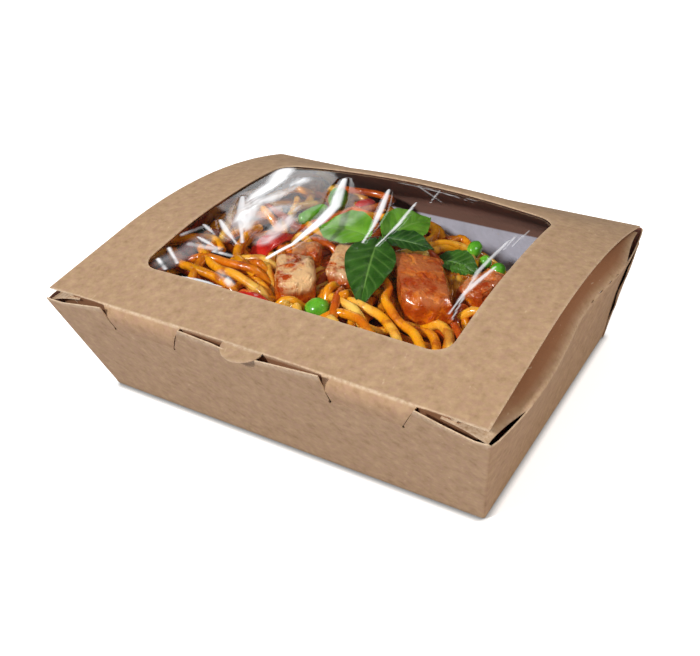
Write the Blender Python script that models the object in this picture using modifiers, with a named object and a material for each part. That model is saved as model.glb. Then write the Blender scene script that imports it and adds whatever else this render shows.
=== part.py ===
"""Takeaway food box: a folded kraft board tray, an arched lid with a clear window that opens
on its back edge, and a meal of noodles, chicken, peas, green beans, red pepper and basil.

Metres, +Z up. The origin is the centre of the bottom panel's underside, +X runs along the box
and -Y is its front, where the lid tucks in. Sizes are outer sizes of the board."""

import math
import random

import bmesh
import bpy
from mathutils import Vector, noise
from mathutils.bvhtree import BVHTree

MM = 0.001
BOARD = 0.6 * MM  # thickness of the folded board
FILM = 0.2 * MM  # thickness of the window film
GAP = 0.3 * MM  # clearance between pieces that touch

# Tray: a bottom panel and four walls that lean outwards
BASE_HALF_LENGTH = 81.8 * MM
BASE_HALF_WIDTH = 63.3 * MM
RIM_HALF_LENGTH = 90 * MM
RIM_FRONT_Y = -82 * MM
RIM_BACK_Y = 72.4 * MM
RIM_HEIGHT = 49 * MM
SIDE_RIM_HEIGHT = 48.2 * MM
WALL_CORNER_RADIUS = 2.5 * MM
CORNER_STEPS = 2
MID_LEVEL = 22 * MM
FRONT_LEAN = (-BASE_HALF_WIDTH - RIM_FRONT_Y) / RIM_HEIGHT  # forward run for each metre up
FRONT_BULGE = 3.4 * MM  # how far the end walls bow out near the front slits
FRONT_BULGE_REACH = 77 * MM
BACK_BULGE = 2.6 * MM
BACK_BULGE_REACH = 60 * MM
BULGE_GROWTH = 2.5  # the bulge is felt near the rim only

# Front wall: its top edge rises over the rim between the corners and sags in the middle
FRONT_TOP = 55 * MM
FRONT_TOP_HALF = 66 * MM
FRONT_SAG_TOP = 52.8 * MM
FRONT_SAG_HALF = 8 * MM
FRONT_SAG_IN = 1.0 * MM
NOTCH_FOOT = 43.6 * MM
NOTCH_TOP = (28 * MM, 62.5 * MM)
NOTCH_BOTTOM = (32 * MM, 59 * MM)

# End flaps: fold in from the end walls' rims and rise to the lid's underside
SLIT_FRONT_Y = -57 * MM
SLIT_BACK_Y = 39 * MM
FLAP_INNER_X = 73 * MM
FLAP_FRONT = (88.4 * MM, -79 * MM)
FLAP_BACK = (88.4 * MM, 69 * MM)
FLAP_END_SKEW = 0.9  # the inner edge is shorter than the crease
FLAP_END_CURVE = 0.6
FLAP_TO_LID = 1.2 * MM

# Lid: an arch that runs on straight towards the front, with a raised middle
LID_HALF_LENGTH = 88.3 * MM
LID_FRONT_Y = -80.2 * MM
LID_BACK_Z = 49.9 * MM
ARCH_TOP_Z = 61.5 * MM
ARCH_TOP_Y = -4 * MM
ARCH_STRAIGHT_Y = -40 * MM
CROWN = 2.6 * MM
CROWN_BACK_Y = 40 * MM
CROWN_AT_FRONT = 0.4
LID_CORNER_REACH = 12.3 * MM

# Window
WINDOW_HALF_LENGTH = 63.4 * MM
WINDOW_FRONT_Y = -56.9 * MM
WINDOW_BACK_Y = 40.7 * MM
WINDOW_RADIUS = 7 * MM
FILM_MARGIN = 4.6 * MM
FILM_DROP = BOARD + 0.36 * MM  # the film's upper face lies this far under the lid's outer face
FILM_COLUMNS = 9
FILM_ROWS = 11

# Tuck panel, lock tabs and thumb tongue on the lid's front edge
TUCK_FOOT = (-75 * MM, 38.5 * MM)
TUCK_HOLE_DEPTH = 0.7  # share of the tuck panel that the tabs and the tongue are cut from
TUCK_TAPER = 0.985
TAB_FOLD_Z = 53 * MM
TAB_FOOT_Z = 44 * MM
TAB_OPEN_GAP = 1.6 * MM  # the slit on each tab's left side
TAB_SHUT_GAP = 0.45 * MM
TONGUE_CENTRE = 1.2 * MM
TONGUE_HALF_WIDTH = 8 * MM
TONGUE_LENGTH = 6.2 * MM
TONGUE_SLOPE = 0.22
TONGUE_COLUMNS = 5

# Noodle heap
HEAP_FLOOR = BOARD + GAP
HEAP_TOP = 50.5 * MM
HEAP_END_DROP = 6 * MM  # at this far from the middle: HEAP_REACH along and across
HEAP_SIDE_DROP = 4 * MM
HEAP_REACH = (75 * MM, 65 * MM)
HEAP_FRONT_Y = -72 * MM
HEAP_CORNER_PULL = 0.05
HEAP_LEAST = 8 * MM
WALL_CLEARANCE = BOARD + 0.5 * MM
SCOOP_NORMAL = (0.476, 0.88)  # the heap falls away towards the back right corner
SCOOP_OFFSET = 42 * MM
SCOOP_SLOPE = 1.1
SCOOP_SOFTNESS = 6 * MM
CORE_SINK = 2.6 * MM  # the core's top lies below the tops of the noodles on it
CORE_BUMP = 1.3 * MM
CORE_BUMP_SIZE = 9 * MM
CORE_EDGE_DROP = 4 * MM
CORE_PLAN_Z = 35 * MM
CORE_COLUMNS = 13
CORE_ROWS = 11
NOODLE_RADIUS = 1.9 * MM
NOODLE_STEPS = 9
NOODLE_STEP = (5.4 * MM, 6.6 * MM)
NOODLE_END_DIP = 4.5 * MM
NOODLE_WAVE = 0.9 * MM
NOODLE_SWAY = (0.1, 0.3)
NOODLE_TURN = 0.16
NOODLE_TURN_BACK = 0.9
NOODLE_X = 78 * MM  # the noodles keep inside these limits
NOODLE_Y = (-64 * MM, 60 * MM)
NOODLE_COLUMNS = 6
NOODLE_ROWS = 4
SEAT_CLEARANCE = 0.45 * MM

LEAF_THICKNESS = 0.5 * MM
PEPPER_THICKNESS = 2.6 * MM
SEED = 7

# Colours: linear red, green, blue
KRAFT = (0.52, 0.36, 0.21)
CLEAR = (0.9, 0.93, 0.95)
NOODLE = (0.72, 0.25, 0.025)
CHICKEN = (0.66, 0.17, 0.02)
PEA_GREEN = (0.17, 0.46, 0.03)
BASIL_GREEN = (0.06, 0.24, 0.015)
PEPPER_RED = (0.62, 0.03, 0.015)


def empty_scene():
    for item in list(bpy.data.objects):
        bpy.data.objects.remove(item, do_unlink=True)


def new_collection(name):
    collection = bpy.data.collections.new(name)
    bpy.context.scene.collection.children.link(collection)
    return collection


def new_material(name, colour, roughness, alpha=1.0):
    material = bpy.data.materials.new(name)
    material.use_nodes = True
    shader = material.node_tree.nodes["Principled BSDF"]
    shader.inputs["Base Color"].default_value = (*colour, 1)
    shader.inputs["Roughness"].default_value = roughness
    shader.inputs["Metallic"].default_value = 0
    shader.inputs["Alpha"].default_value = alpha
    return material


def new_object(name, bm, material, collection):
    mesh = bpy.data.meshes.new(name)
    bm.to_mesh(mesh)
    bm.free()
    item = bpy.data.objects.new(name, mesh)
    item.data.materials.append(material)
    collection.objects.link(item)
    return item


def place_primitive(item, name, material, collection):
    """Moves a primitive that an operator has just added into the collection under its name."""
    for old in list(item.users_collection):
        old.objects.unlink(item)
    collection.objects.link(item)
    item.name = name
    item.data.name = name
    item.data.materials.append(material)
    return item


def ease(share):
    """A smooth rise from 0 to 1."""
    share = max(0.0, min(1.0, share))
    return share * share * (3 - 2 * share)


def mix(start, end, share):
    return start + (end - start) * share


def join_rows(bm, first, second):
    """Faces between two rows of vertices; a vertex that both rows share closes to a triangle."""
    for index in range(len(first) - 1):
        corners = [first[index], first[index + 1], second[index + 1], second[index]]
        distinct = [corner for place, corner in enumerate(corners) if corner not in corners[:place]]
        if len(distinct) > 2:
            bm.faces.new(distinct)


def face_outwards(bm, sample, direction):
    """Makes all faces agree, with the sample face looking along the direction."""
    bmesh.ops.recalc_face_normals(bm, faces=bm.faces)
    sample.normal_update()
    if sample.normal.dot(Vector(direction)) < 0:
        bmesh.ops.reverse_faces(bm, faces=bm.faces)


def thicken(item, thickness, offset):
    solidify = item.modifiers.new("thickness", "SOLIDIFY")
    solidify.thickness = thickness
    solidify.offset = offset
    solidify.use_even_offset = True
    solidify.use_rim = True


def evaluated_mesh(item):
    return bpy.data.meshes.new_from_object(item.evaluated_get(bpy.context.evaluated_depsgraph_get()))


def bake(item):
    """Applies an object's modifiers."""
    mesh = evaluated_mesh(item)
    old = item.data
    item.modifiers.clear()
    item.data = mesh
    mesh.name = item.name
    bpy.data.meshes.remove(old)


def show_as_cutter(item):
    item.hide_render = True
    item.display_type = "WIRE"


# The forms of the tray and the lid


def front_wall_y(z):
    return -BASE_HALF_WIDTH - FRONT_LEAN * z


def back_wall_y(z):
    return mix(BASE_HALF_WIDTH, RIM_BACK_Y, z / RIM_HEIGHT)


def end_wall_x(z):
    return mix(BASE_HALF_LENGTH, RIM_HALF_LENGTH, z / RIM_HEIGHT)


def front_sag(x):
    """1 in the middle of the front wall, 0 from the lock tabs outwards."""
    return 1 - ease((abs(x) - FRONT_SAG_HALF) / (NOTCH_TOP[0] - FRONT_SAG_HALF))


def front_top_z(x):
    if abs(x) <= FRONT_TOP_HALF:
        return mix(FRONT_TOP, FRONT_SAG_TOP, front_sag(x))
    beyond = (abs(x) - FRONT_TOP_HALF) / (RIM_HALF_LENGTH - FRONT_TOP_HALF)
    return mix(FRONT_TOP, RIM_HEIGHT, min(1, beyond))


def notch_edges(z):
    """Where the edges of a front wall's notch lie at this height, from the middle outwards."""
    share = (z - NOTCH_FOOT) / (FRONT_TOP - NOTCH_FOOT)
    return [mix(foot, top, share) for foot, top in zip(NOTCH_BOTTOM, NOTCH_TOP)]


def end_bulge(y):
    """How far an end wall's rim bows out, most beside the slits."""
    from_front = (y - RIM_FRONT_Y) / FRONT_BULGE_REACH
    from_back = (RIM_BACK_Y - y) / BACK_BULGE_REACH
    bulge = 0
    if 0 < from_front < 1:
        bulge += FRONT_BULGE * math.sin(math.pi * math.sqrt(from_front))
    if 0 < from_back < 1:
        bulge += BACK_BULGE * math.sin(math.pi * from_back)
    return bulge


def lid_height(x, y):
    """The lid's outer face: an arch from front to back, raised towards the middle of its length."""
    drop = (ARCH_TOP_Z - LID_BACK_Z) / (RIM_BACK_Y - ARCH_TOP_Y) ** 2
    run = max(y, ARCH_STRAIGHT_Y) - ARCH_TOP_Y
    straight = max(0, ARCH_STRAIGHT_Y - y)
    arch = ARCH_TOP_Z - drop * run**2 - straight * 2 * drop * (ARCH_TOP_Y - ARCH_STRAIGHT_Y)
    across = 1 - (x / LID_HALF_LENGTH) ** 2
    behind = ease((RIM_BACK_Y - y) / (RIM_BACK_Y - CROWN_BACK_Y))
    forward = mix(CROWN_AT_FRONT, 1, min(1, (y - LID_FRONT_Y) / (CROWN_BACK_Y - LID_FRONT_Y)))
    return arch + CROWN * across * behind * forward


# Tray

FRONT_STATIONS = (8, 18, 28, 62.5, 66, 80)
SIDE_STATIONS = (-76, -70, -64, -57, -45, -32, -20, -8, 5, 18, 29, 39, 45, 53, 62)
BACK_STATIONS = (54, 18, -18, -54)


def tray_ring(level):
    """Points round the tray, anticlockwise from the front left, at a height; None stands for
    the top edge, which isn't level."""
    at_top = level is None
    z = RIM_HEIGHT if at_top else level
    share = z / RIM_HEIGHT
    half_length, front, back = end_wall_x(z), front_wall_y(z), back_wall_y(z)
    scale = half_length / RIM_HALF_LENGTH
    notch_feet = dict(zip(NOTCH_TOP, NOTCH_BOTTOM))
    points = []

    def corner(sign_x, centre_y, start):
        for step in range(CORNER_STEPS + 1):
            angle = math.radians(start + 90 * step / CORNER_STEPS)
            centre_x = sign_x * (half_length - WALL_CORNER_RADIUS)
            points.append(
                (
                    centre_x + WALL_CORNER_RADIUS * math.cos(angle),
                    centre_y + WALL_CORNER_RADIUS * math.sin(angle),
                    z,
                )
            )

    def front_point(x_at_top):
        x = x_at_top * scale
        if at_top:
            z_top = front_top_z(x)
            points.append((x, front_wall_y(z_top) + FRONT_SAG_IN * front_sag(x), z_top))
        else:
            if z == NOTCH_FOOT and abs(x_at_top) in notch_feet:
                x = math.copysign(notch_feet[abs(x_at_top)], x_at_top)
            points.append((x, front, z))

    def end_point(sign_x, y_at_top):
        y = mix(front, back, (y_at_top - RIM_FRONT_Y) / (RIM_BACK_Y - RIM_FRONT_Y))
        bulge = end_bulge(y_at_top) * share**BULGE_GROWTH
        points.append((sign_x * (half_length + bulge), y, SIDE_RIM_HEIGHT if at_top else z))

    for x in [-x * MM for x in reversed(FRONT_STATIONS)] + [x * MM for x in FRONT_STATIONS]:
        front_point(x)
    corner(1, front + WALL_CORNER_RADIUS, -90)
    for y in SIDE_STATIONS:
        end_point(1, y * MM)
    corner(1, back - WALL_CORNER_RADIUS, 0)
    points.extend((x * MM * scale, back, z) for x in BACK_STATIONS)
    corner(-1, back - WALL_CORNER_RADIUS, 90)
    for y in reversed(SIDE_STATIONS):
        end_point(-1, y * MM)
    corner(-1, front + WALL_CORNER_RADIUS, 180)
    return points


def add_end_flap(bm, rim, sign_x):
    """A flap from one end wall's rim: creased to it between two slits, free beyond them."""
    crease, inner = [], []
    along_rim = [(y * MM, vert) for y, vert in zip(SIDE_STATIONS, rim)]
    middle = (FLAP_FRONT[1] + FLAP_BACK[1]) / 2
    for y, vert in [(FLAP_FRONT[1], None), *along_rim, (FLAP_BACK[1], None)]:
        if SLIT_FRONT_Y <= y <= SLIT_BACK_Y:
            crease.append(vert)
        else:
            end, hold = (FLAP_FRONT, SLIT_FRONT_Y) if y < middle else (FLAP_BACK, SLIT_BACK_Y)
            away = ease((y - hold) / (end[1] - hold)) ** FLAP_END_CURVE
            x = mix(RIM_HALF_LENGTH + end_bulge(hold), end[0], away)
            crease.append(bm.verts.new((sign_x * x, y, SIDE_RIM_HEIGHT)))
        y_inner = middle + (y - middle) * FLAP_END_SKEW
        z_inner = lid_height(FLAP_INNER_X, y_inner) - FLAP_TO_LID
        inner.append(bm.verts.new((sign_x * FLAP_INNER_X, y_inner, z_inner)))
    join_rows(bm, crease, inner)


def build_tray(material, collection):
    bm = bmesh.new()
    rings = []
    for level in (0.0, MID_LEVEL, NOTCH_FOOT, None):
        ring = [bm.verts.new(point) for point in tray_ring(level)]
        rings.append(ring)
    centre = bm.verts.new((0, 0, 0))
    for index, vert in enumerate(rings[0]):
        bottom = bm.faces.new((centre, rings[0][(index + 1) % len(rings[0])], vert))
    for lower, upper in zip(rings, rings[1:]):
        for index in range(len(lower)):
            after = (index + 1) % len(lower)
            ends = sorted(abs(upper[place].co.x) for place in (index, after))
            in_notch = upper[index].co.y < 0 and all(
                abs(end - edge) < GAP for end, edge in zip(ends, NOTCH_TOP)
            )
            if upper is rings[-1] and in_notch:
                continue
            bm.faces.new((lower[index], lower[after], upper[after], upper[index]))
    first_side = 2 * len(FRONT_STATIONS) + CORNER_STEPS + 1
    count = len(SIDE_STATIONS)
    right_rim = rings[-1][first_side : first_side + count]
    second_side = first_side + count + 2 * (CORNER_STEPS + 1) + len(BACK_STATIONS)
    left_rim = rings[-1][second_side : second_side + count]
    add_end_flap(bm, right_rim, 1)
    add_end_flap(bm, left_rim[::-1], -1)
    face_outwards(bm, bottom, (0, 0, -1))
    tray = new_object("tray", bm, material, collection)
    thicken(tray, BOARD, -1)
    return tray


# Lid

LID_SIDE_STEPS = 10
LID_BACK_STEPS = 8


def front_edge_stations():
    """Where the lid's front crease is divided: at the tabs' and the tongue's edges."""
    tab_steps = 4
    outward = [mix(*NOTCH_TOP, step / tab_steps) for step in range(tab_steps + 1)]
    end = LID_HALF_LENGTH - LID_CORNER_REACH
    halves = [18 * MM, *outward, end]
    tongue = [
        TONGUE_CENTRE - TONGUE_HALF_WIDTH * math.cos(math.pi * step / TONGUE_COLUMNS)
        for step in range(TONGUE_COLUMNS + 1)
    ]
    return [-x for x in reversed(halves)] + tongue + halves


def frame_outline(half_length, front, back, reach, rounded):
    """Points round a rectangle with the front edge's stations, scaled to its straight length."""
    points = []
    scale = (half_length - reach) / (LID_HALF_LENGTH - LID_CORNER_REACH)
    centre_x = half_length - reach

    def corner(sign_x, centre_y, angles):
        for angle in angles:
            across, along = math.cos(math.radians(angle)), math.sin(math.radians(angle))
            size = reach if rounded else reach / max(abs(across), abs(along))
            points.append((sign_x * centre_x + size * across, centre_y + size * along))

    points.extend((x * scale, front) for x in front_edge_stations())
    corner(1, front + reach, (-67.5, -45, -22.5))
    side = [mix(front + reach, back - reach, step / LID_SIDE_STEPS) for step in range(LID_SIDE_STEPS + 1)]
    points.extend((half_length, y) for y in side)
    corner(1, back - reach, (22.5, 45, 67.5))
    points.extend(
        (centre_x * (1 - 2 * step / LID_BACK_STEPS), back) for step in range(LID_BACK_STEPS + 1)
    )
    corner(-1, back - reach, (112.5, 135, 157.5))
    points.extend((-half_length, y) for y in reversed(side))
    corner(-1, front + reach, (202.5, 225, 247.5))
    return points


def build_lid(material, collection):
    bm = bmesh.new()
    window = frame_outline(WINDOW_HALF_LENGTH, WINDOW_FRONT_Y, WINDOW_BACK_Y, WINDOW_RADIUS, True)
    edge = frame_outline(LID_HALF_LENGTH, LID_FRONT_Y, RIM_BACK_Y, LID_CORNER_REACH, False)
    rings = []
    for share in (0, 0.5, 1):
        ring = []
        for inner, outer in zip(window, edge):
            x, y = mix(inner[0], outer[0], share), mix(inner[1], outer[1], share)
            ring.append(bm.verts.new((x, y, lid_height(x, y))))
        rings.append(ring)
    for inner, outer in zip(rings, rings[1:]):
        join_rows(bm, inner + inner[:1], outer + outer[:1])
    top = next(iter(bm.faces))

    stations = front_edge_stations()
    crease = rings[-1][: len(stations)]
    top_y, top_z = LID_FRONT_Y, lid_height(0, LID_FRONT_Y)

    def is_cut(start, end):
        """Whether a tab or the tongue takes this stretch of the crease."""
        middle = (start + end) / 2
        on_tab = NOTCH_TOP[0] < abs(middle) < NOTCH_TOP[1]
        return on_tab or abs(middle - TONGUE_CENTRE) < TONGUE_HALF_WIDTH

    rows = []
    for depth in (TUCK_HOLE_DEPTH, 1):
        y, z = mix(top_y, TUCK_FOOT[0], depth), mix(top_z, TUCK_FOOT[1], depth)
        rows.append([bm.verts.new((x * mix(1, TUCK_TAPER, depth), y, z)) for x in stations])
    join_rows(bm, rows[0], rows[1])
    for index in range(len(stations) - 1):
        if not is_cut(stations[index], stations[index + 1]):
            join_rows(bm, crease[index : index + 2], rows[0][index : index + 2])

    for sign in (-1, 1):
        picked = [
            (x, vert)
            for x, vert in zip(stations, crease)
            if NOTCH_TOP[0] - GAP < sign * x < NOTCH_TOP[1] + GAP
        ]
        shares = [index / (len(picked) - 1) for index in range(len(picked))]
        fold_ends = sorted(sign * edge for edge in notch_edges(TAB_FOLD_Z))
        foot_ends = sorted(sign * edge for edge in notch_edges(TAB_FOOT_Z))
        fold = [mix(fold_ends[0] + TAB_OPEN_GAP, fold_ends[1] - TAB_SHUT_GAP, share) for share in shares]
        foot = [mix(foot_ends[0] + TAB_SHUT_GAP, foot_ends[1] - TAB_SHUT_GAP, share) for share in shares]
        fold_row = [bm.verts.new((x, front_wall_y(TAB_FOLD_Z), TAB_FOLD_Z)) for x in fold]
        foot_row = [bm.verts.new((x, front_wall_y(TAB_FOOT_Z), TAB_FOOT_Z)) for x in foot]
        join_rows(bm, [vert for _, vert in picked], fold_row)
        join_rows(bm, fold_row, foot_row)

    first = stations.index(min(stations, key=lambda x: abs(x - TONGUE_CENTRE + TONGUE_HALF_WIDTH)))
    root = crease[first : first + TONGUE_COLUMNS + 1]
    row = root
    for reach in (0.5, 1):
        after = []
        for column, vert in enumerate(root):
            out = TONGUE_LENGTH * reach * math.sin(math.pi * column / TONGUE_COLUMNS)
            ends = column in (0, TONGUE_COLUMNS)
            point = vert.co + Vector((0, -out, -out * TONGUE_SLOPE))
            after.append(vert if ends else bm.verts.new(point))
        join_rows(bm, row, after)
        row = after

    face_outwards(bm, top, (0, 0, 1))
    lid = new_object("lid_panel", bm, material, collection)
    thicken(lid, BOARD, -1)
    return lid


def build_film(material, collection):
    """The window film: glued under the lid, a margin wider than the window all round."""
    half = WINDOW_HALF_LENGTH + FILM_MARGIN
    front, back = WINDOW_FRONT_Y - FILM_MARGIN, WINDOW_BACK_Y + FILM_MARGIN
    bm = bmesh.new()
    grid = []
    for row in range(FILM_ROWS):
        y = mix(front, back, row / (FILM_ROWS - 1))
        across = [mix(-half, half, column / (FILM_COLUMNS - 1)) for column in range(FILM_COLUMNS)]
        grid.append([bm.verts.new((x, y, lid_height(x, y) - FILM_DROP)) for x in across])
    for lower, upper in zip(grid, grid[1:]):
        join_rows(bm, lower, upper)
    face_outwards(bm, next(iter(bm.faces)), (0, 0, 1))
    film = new_object("window_film", bm, material, collection)
    thicken(film, FILM, -1)
    film.data.shade_smooth()
    return film


# Food


def heap_height(x, y):
    """The top of the noodles: a low mound that falls away towards the back right corner."""
    end_drop = HEAP_END_DROP * (x / HEAP_REACH[0]) ** 2
    side_drop = HEAP_SIDE_DROP * (y / HEAP_REACH[1]) ** 2
    beyond = x * SCOOP_NORMAL[0] + y * SCOOP_NORMAL[1] - SCOOP_OFFSET
    drop = (beyond + math.hypot(beyond, SCOOP_SOFTNESS)) / 2
    return max(HEAP_TOP - end_drop - side_drop - SCOOP_SLOPE * drop, HEAP_FLOOR + HEAP_LEAST)


def heap_point(across, along, z):
    """A point of the heap's plan, -1 to 1 each way, kept clear of the walls at this height."""
    half = end_wall_x(z) - WALL_CLEARANCE
    front = max(front_wall_y(z) + WALL_CLEARANCE * 1.2, HEAP_FRONT_Y)
    back = back_wall_y(z) - WALL_CLEARANCE
    x = across * half * (1 - HEAP_CORNER_PULL * along**4)
    squeezed = along * (1 - HEAP_CORNER_PULL * across**4)
    return x, mix(front, back, (squeezed + 1) / 2)


def build_heap_core(material, collection):
    bm = bmesh.new()
    grid, floor = [], []
    for row in range(CORE_ROWS):
        along = 2 * row / (CORE_ROWS - 1) - 1
        top_row, floor_row = [], []
        for column in range(CORE_COLUMNS):
            across = 2 * column / (CORE_COLUMNS - 1) - 1
            x, y = heap_point(across, along, CORE_PLAN_Z)
            at_edge = max(abs(across), abs(along)) ** 8
            bump = CORE_BUMP * noise.noise(Vector((x, y, 0)) / CORE_BUMP_SIZE)
            z = heap_height(x, y) - CORE_SINK - CORE_EDGE_DROP * at_edge + bump
            x, y = heap_point(across, along, min(z, CORE_PLAN_Z))
            top_row.append(bm.verts.new((x, y, z)))
            if abs(across) == 1 or abs(along) == 1:
                floor_row.append(bm.verts.new((*heap_point(across, along, HEAP_FLOOR), HEAP_FLOOR)))
            else:
                floor_row.append(None)
        grid.append(top_row)
        floor.append(floor_row)
    for lower, upper in zip(grid, grid[1:]):
        join_rows(bm, lower, upper)
    top = next(iter(bm.faces))

    def border(cells):
        last_row, last_column = CORE_ROWS - 1, CORE_COLUMNS - 1
        ring = [cells[0][column] for column in range(last_column)]
        ring += [cells[row][last_column] for row in range(last_row)]
        ring += [cells[last_row][column] for column in range(last_column, 0, -1)]
        ring += [cells[row][0] for row in range(last_row, 0, -1)]
        return ring

    upper_ring, lower_ring = border(grid), border(floor)
    join_rows(bm, upper_ring + upper_ring[:1], lower_ring + lower_ring[:1])
    centre = bm.verts.new((0, 0, HEAP_FLOOR))
    for index, vert in enumerate(lower_ring):
        bm.faces.new((centre, vert, lower_ring[(index + 1) % len(lower_ring)]))
    face_outwards(bm, top, (0, 0, 1))
    return new_object("noodle_heap", bm, material, collection)


def tube(name, points, radius, material, collection, resolution=1):
    """A closed mesh tube along the points."""
    curve = bpy.data.curves.new(name, "CURVE")
    curve.dimensions = "3D"
    curve.bevel_depth = radius
    curve.bevel_resolution = resolution
    curve.use_fill_caps = True
    spline = curve.splines.new("POLY")
    spline.points.add(len(points) - 1)
    for place, point in zip(spline.points, points):
        place.co = (*point, 1)
    route = bpy.data.objects.new(name + "_route", curve)
    collection.objects.link(route)
    mesh = evaluated_mesh(route)
    bpy.data.objects.remove(route)
    bm = bmesh.new()
    bm.from_mesh(mesh)
    bpy.data.meshes.remove(mesh)
    bmesh.ops.remove_doubles(bm, verts=bm.verts, dist=0.01 * MM)
    bmesh.ops.recalc_face_normals(bm, faces=bm.faces)
    return new_object(name, bm, material, collection)


def noodle_route(rng, x, y):
    """A noodle's winding way over the heap, with both ends dipping into it."""
    heading = rng.uniform(0, 2 * math.pi)
    turn = rng.uniform(-NOODLE_TURN, NOODLE_TURN)
    sway, phase = rng.uniform(*NOODLE_SWAY), rng.uniform(0, 2 * math.pi)
    step = rng.uniform(*NOODLE_STEP)
    points = []
    for index in range(NOODLE_STEPS + 1):
        share = index / NOODLE_STEPS
        dip = NOODLE_END_DIP * abs(2 * share - 1) ** 4
        lift = NOODLE_WAVE * math.sin(5 * math.pi * share + phase)
        z = heap_height(x, y) - NOODLE_RADIUS + lift - dip
        points.append((x, y, z))
        heading += turn + sway * math.sin(2 * math.pi * share + phase)
        ahead_x, ahead_y = x + step * math.cos(heading), y + step * math.sin(heading)
        if abs(ahead_x) > NOODLE_X or not NOODLE_Y[0] < ahead_y < NOODLE_Y[1]:
            heading += NOODLE_TURN_BACK
            ahead_x, ahead_y = x + step * math.cos(heading), y + step * math.sin(heading)
        x = max(-NOODLE_X, min(NOODLE_X, ahead_x))
        y = max(NOODLE_Y[0], min(NOODLE_Y[1], ahead_y))
    return points


def add_noodles(material, collection):
    rng = random.Random(SEED)
    for row in range(NOODLE_ROWS):
        for column in range(NOODLE_COLUMNS):
            x = mix(-64, 64, (column + 0.5 * (row % 2)) / (NOODLE_COLUMNS - 0.5)) * MM
            y = mix(-48, 46, row / (NOODLE_ROWS - 1)) * MM
            x += rng.uniform(-6, 6) * MM
            y += rng.uniform(-6, 6) * MM
            tube(f"noodle_{row}_{column}", noodle_route(rng, x, y), NOODLE_RADIUS, material, collection)


def add_boolean(target, operation, collection, solver):
    boolean = target.modifiers.new(operation.lower(), "BOOLEAN")
    boolean.operation = operation
    boolean.operand_type = "COLLECTION"
    boolean.collection = collection
    boolean.solver = solver


def keep_largest_piece(item):
    """Drops scraps that fusing and cutting leave loose, and hollows sealed inside."""
    bm = bmesh.new()
    bm.from_mesh(item.data)
    left, pieces = set(bm.verts), []
    while left:
        first = next(iter(left))
        reached, ahead = {first}, [first]
        while ahead:
            vert = ahead.pop()
            for link in vert.link_edges:
                other = link.other_vert(vert)
                if other not in reached:
                    reached.add(other)
                    ahead.append(other)
        pieces.append(reached)
        left -= reached
    pieces.sort(key=len)
    scraps = [vert for piece in pieces[:-1] for vert in piece]
    bmesh.ops.delete(bm, geom=scraps, context="VERTS")
    bmesh.ops.triangulate(bm, faces=bm.faces)
    bm.to_mesh(item.data)
    bm.free()


def turn_and_place(item, centre, size, heading, tilt):
    """Sizes an object's mesh, then turns and places the object; millimetres and degrees."""
    for vert in item.data.vertices:
        vert.co = Vector([part * side for part, side in zip(vert.co, size)])
    item.location = [value * MM for value in centre]
    item.rotation_euler = (math.radians(tilt[0]), math.radians(tilt[1]), math.radians(heading))


# name, centre, size and heading; millimetres and degrees
CHICKEN_CHUNKS = (
    ("chicken_1", (33, -13, 49.2), (35, 20, 13), -57),
    ("chicken_2", (-1.5, -10, 48.4), (25, 12, 11), -72),
    ("chicken_3", (-14.5, -26.5, 48.0), (25, 15.5, 14), -56),
    ("chicken_4", (-21, -8, 48.4), (13, 9, 8), 20),
    ("chicken_5", (51, 2, 46.4), (20, 14, 11), 75),
    ("chicken_6", (-62, 54, 43.4), (15, 11, 9), 15),
)
CHICKEN_CORNERS = (-0.08, 0.12)  # how far the corners stray from the box they start as
CHICKEN_SKEW = 0.07
CHICKEN_CREASE = (0.35, 0.6)
CHICKEN_TILT = 7
PEA_SQUASH = (0.9, 1.04)
PEAS = (
    ("pea_1", (4, -40, 46.2), 5.6),
    ("pea_2", (-38.5, 44.5, 47.2), 5.2),
    ("pea_3", (42, 23.5, 45.4), 3.1),
    ("pea_4", (48.6, 20.5, 44.6), 3.3),
    ("pea_5", (55, 16, 43.4), 2.9),
)
BEANS = (
    ("bean_1", (-40, 15, 49), (-36.5, 31, 49), 3.3),
    ("bean_2", (35, 25, 45.5), (34.5, 33, 47.5), 3.2),
)
# name, centre, length, width, heading and bend; millimetres and degrees
PEPPER_STEPS = 6
PEPPER_POINT = 1.1  # how much a strip narrows towards its ends
PEPPER_CUP = 0.8
PEPPER_STRIPS = (
    ("pepper_1", (-21.5, -44, 47.2), 18, 7, -14, 0.35),
    ("pepper_2", (-77.5, -13, 43.6), 17, 7, 88, 0.3),
    ("pepper_3", (-43, -1, 48.8), 25, 11, 82, 0.7),
    ("pepper_4", (-26, 47, 46.8), 10, 7, 60, 0.5),
)
# name, stem end, tip, width, tilt of the side away from the front, curl; millimetres, degrees
BASIL_LEAVES = (
    ("basil_1", (8.2, -2.2, 58), (15.5, -29, 48), 21, 6, 2.2),
    ("basil_2", (2.4, 2.6, 57), (-25, 7.5, 52.5), 18, -20, 1.8),
    ("basil_3", (7.6, 3.4, 57.5), (15, 29, 56), 15, 8, 1.6),
    ("basil_4", (9.6, 0.4, 56.5), (28.5, 5, 53.5), 11, -14, 1.2),
    ("basil_5", (26.5, 13.5, 54), (44.5, 13, 51), 13, -14, 2.0),
    ("basil_6", (37.5, 0.5, 52), (45, 2.5, 50.5), 6, -10, 0.5),
    ("basil_7", (-80, -6.5, 46), (-79, 4, 46), 7, 12, 0.6),
)
LEAF_STEPS = 8
LEAF_WIDEST = 0.82  # below 1 the widest place moves towards the stem
LEAF_FULLNESS = 0.75
LEAF_WAVE = 0.5 * MM
SPRIG_LEAVES = ("basil_1", "basil_2", "basil_3", "basil_4")
STEM = ((6.2, 0, 57.4), (5.6, 0.8, 54), (4.4, 2.4, 50.5), (2.4, 5, 47.5))
STEM_RADIUS = 1.1


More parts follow.
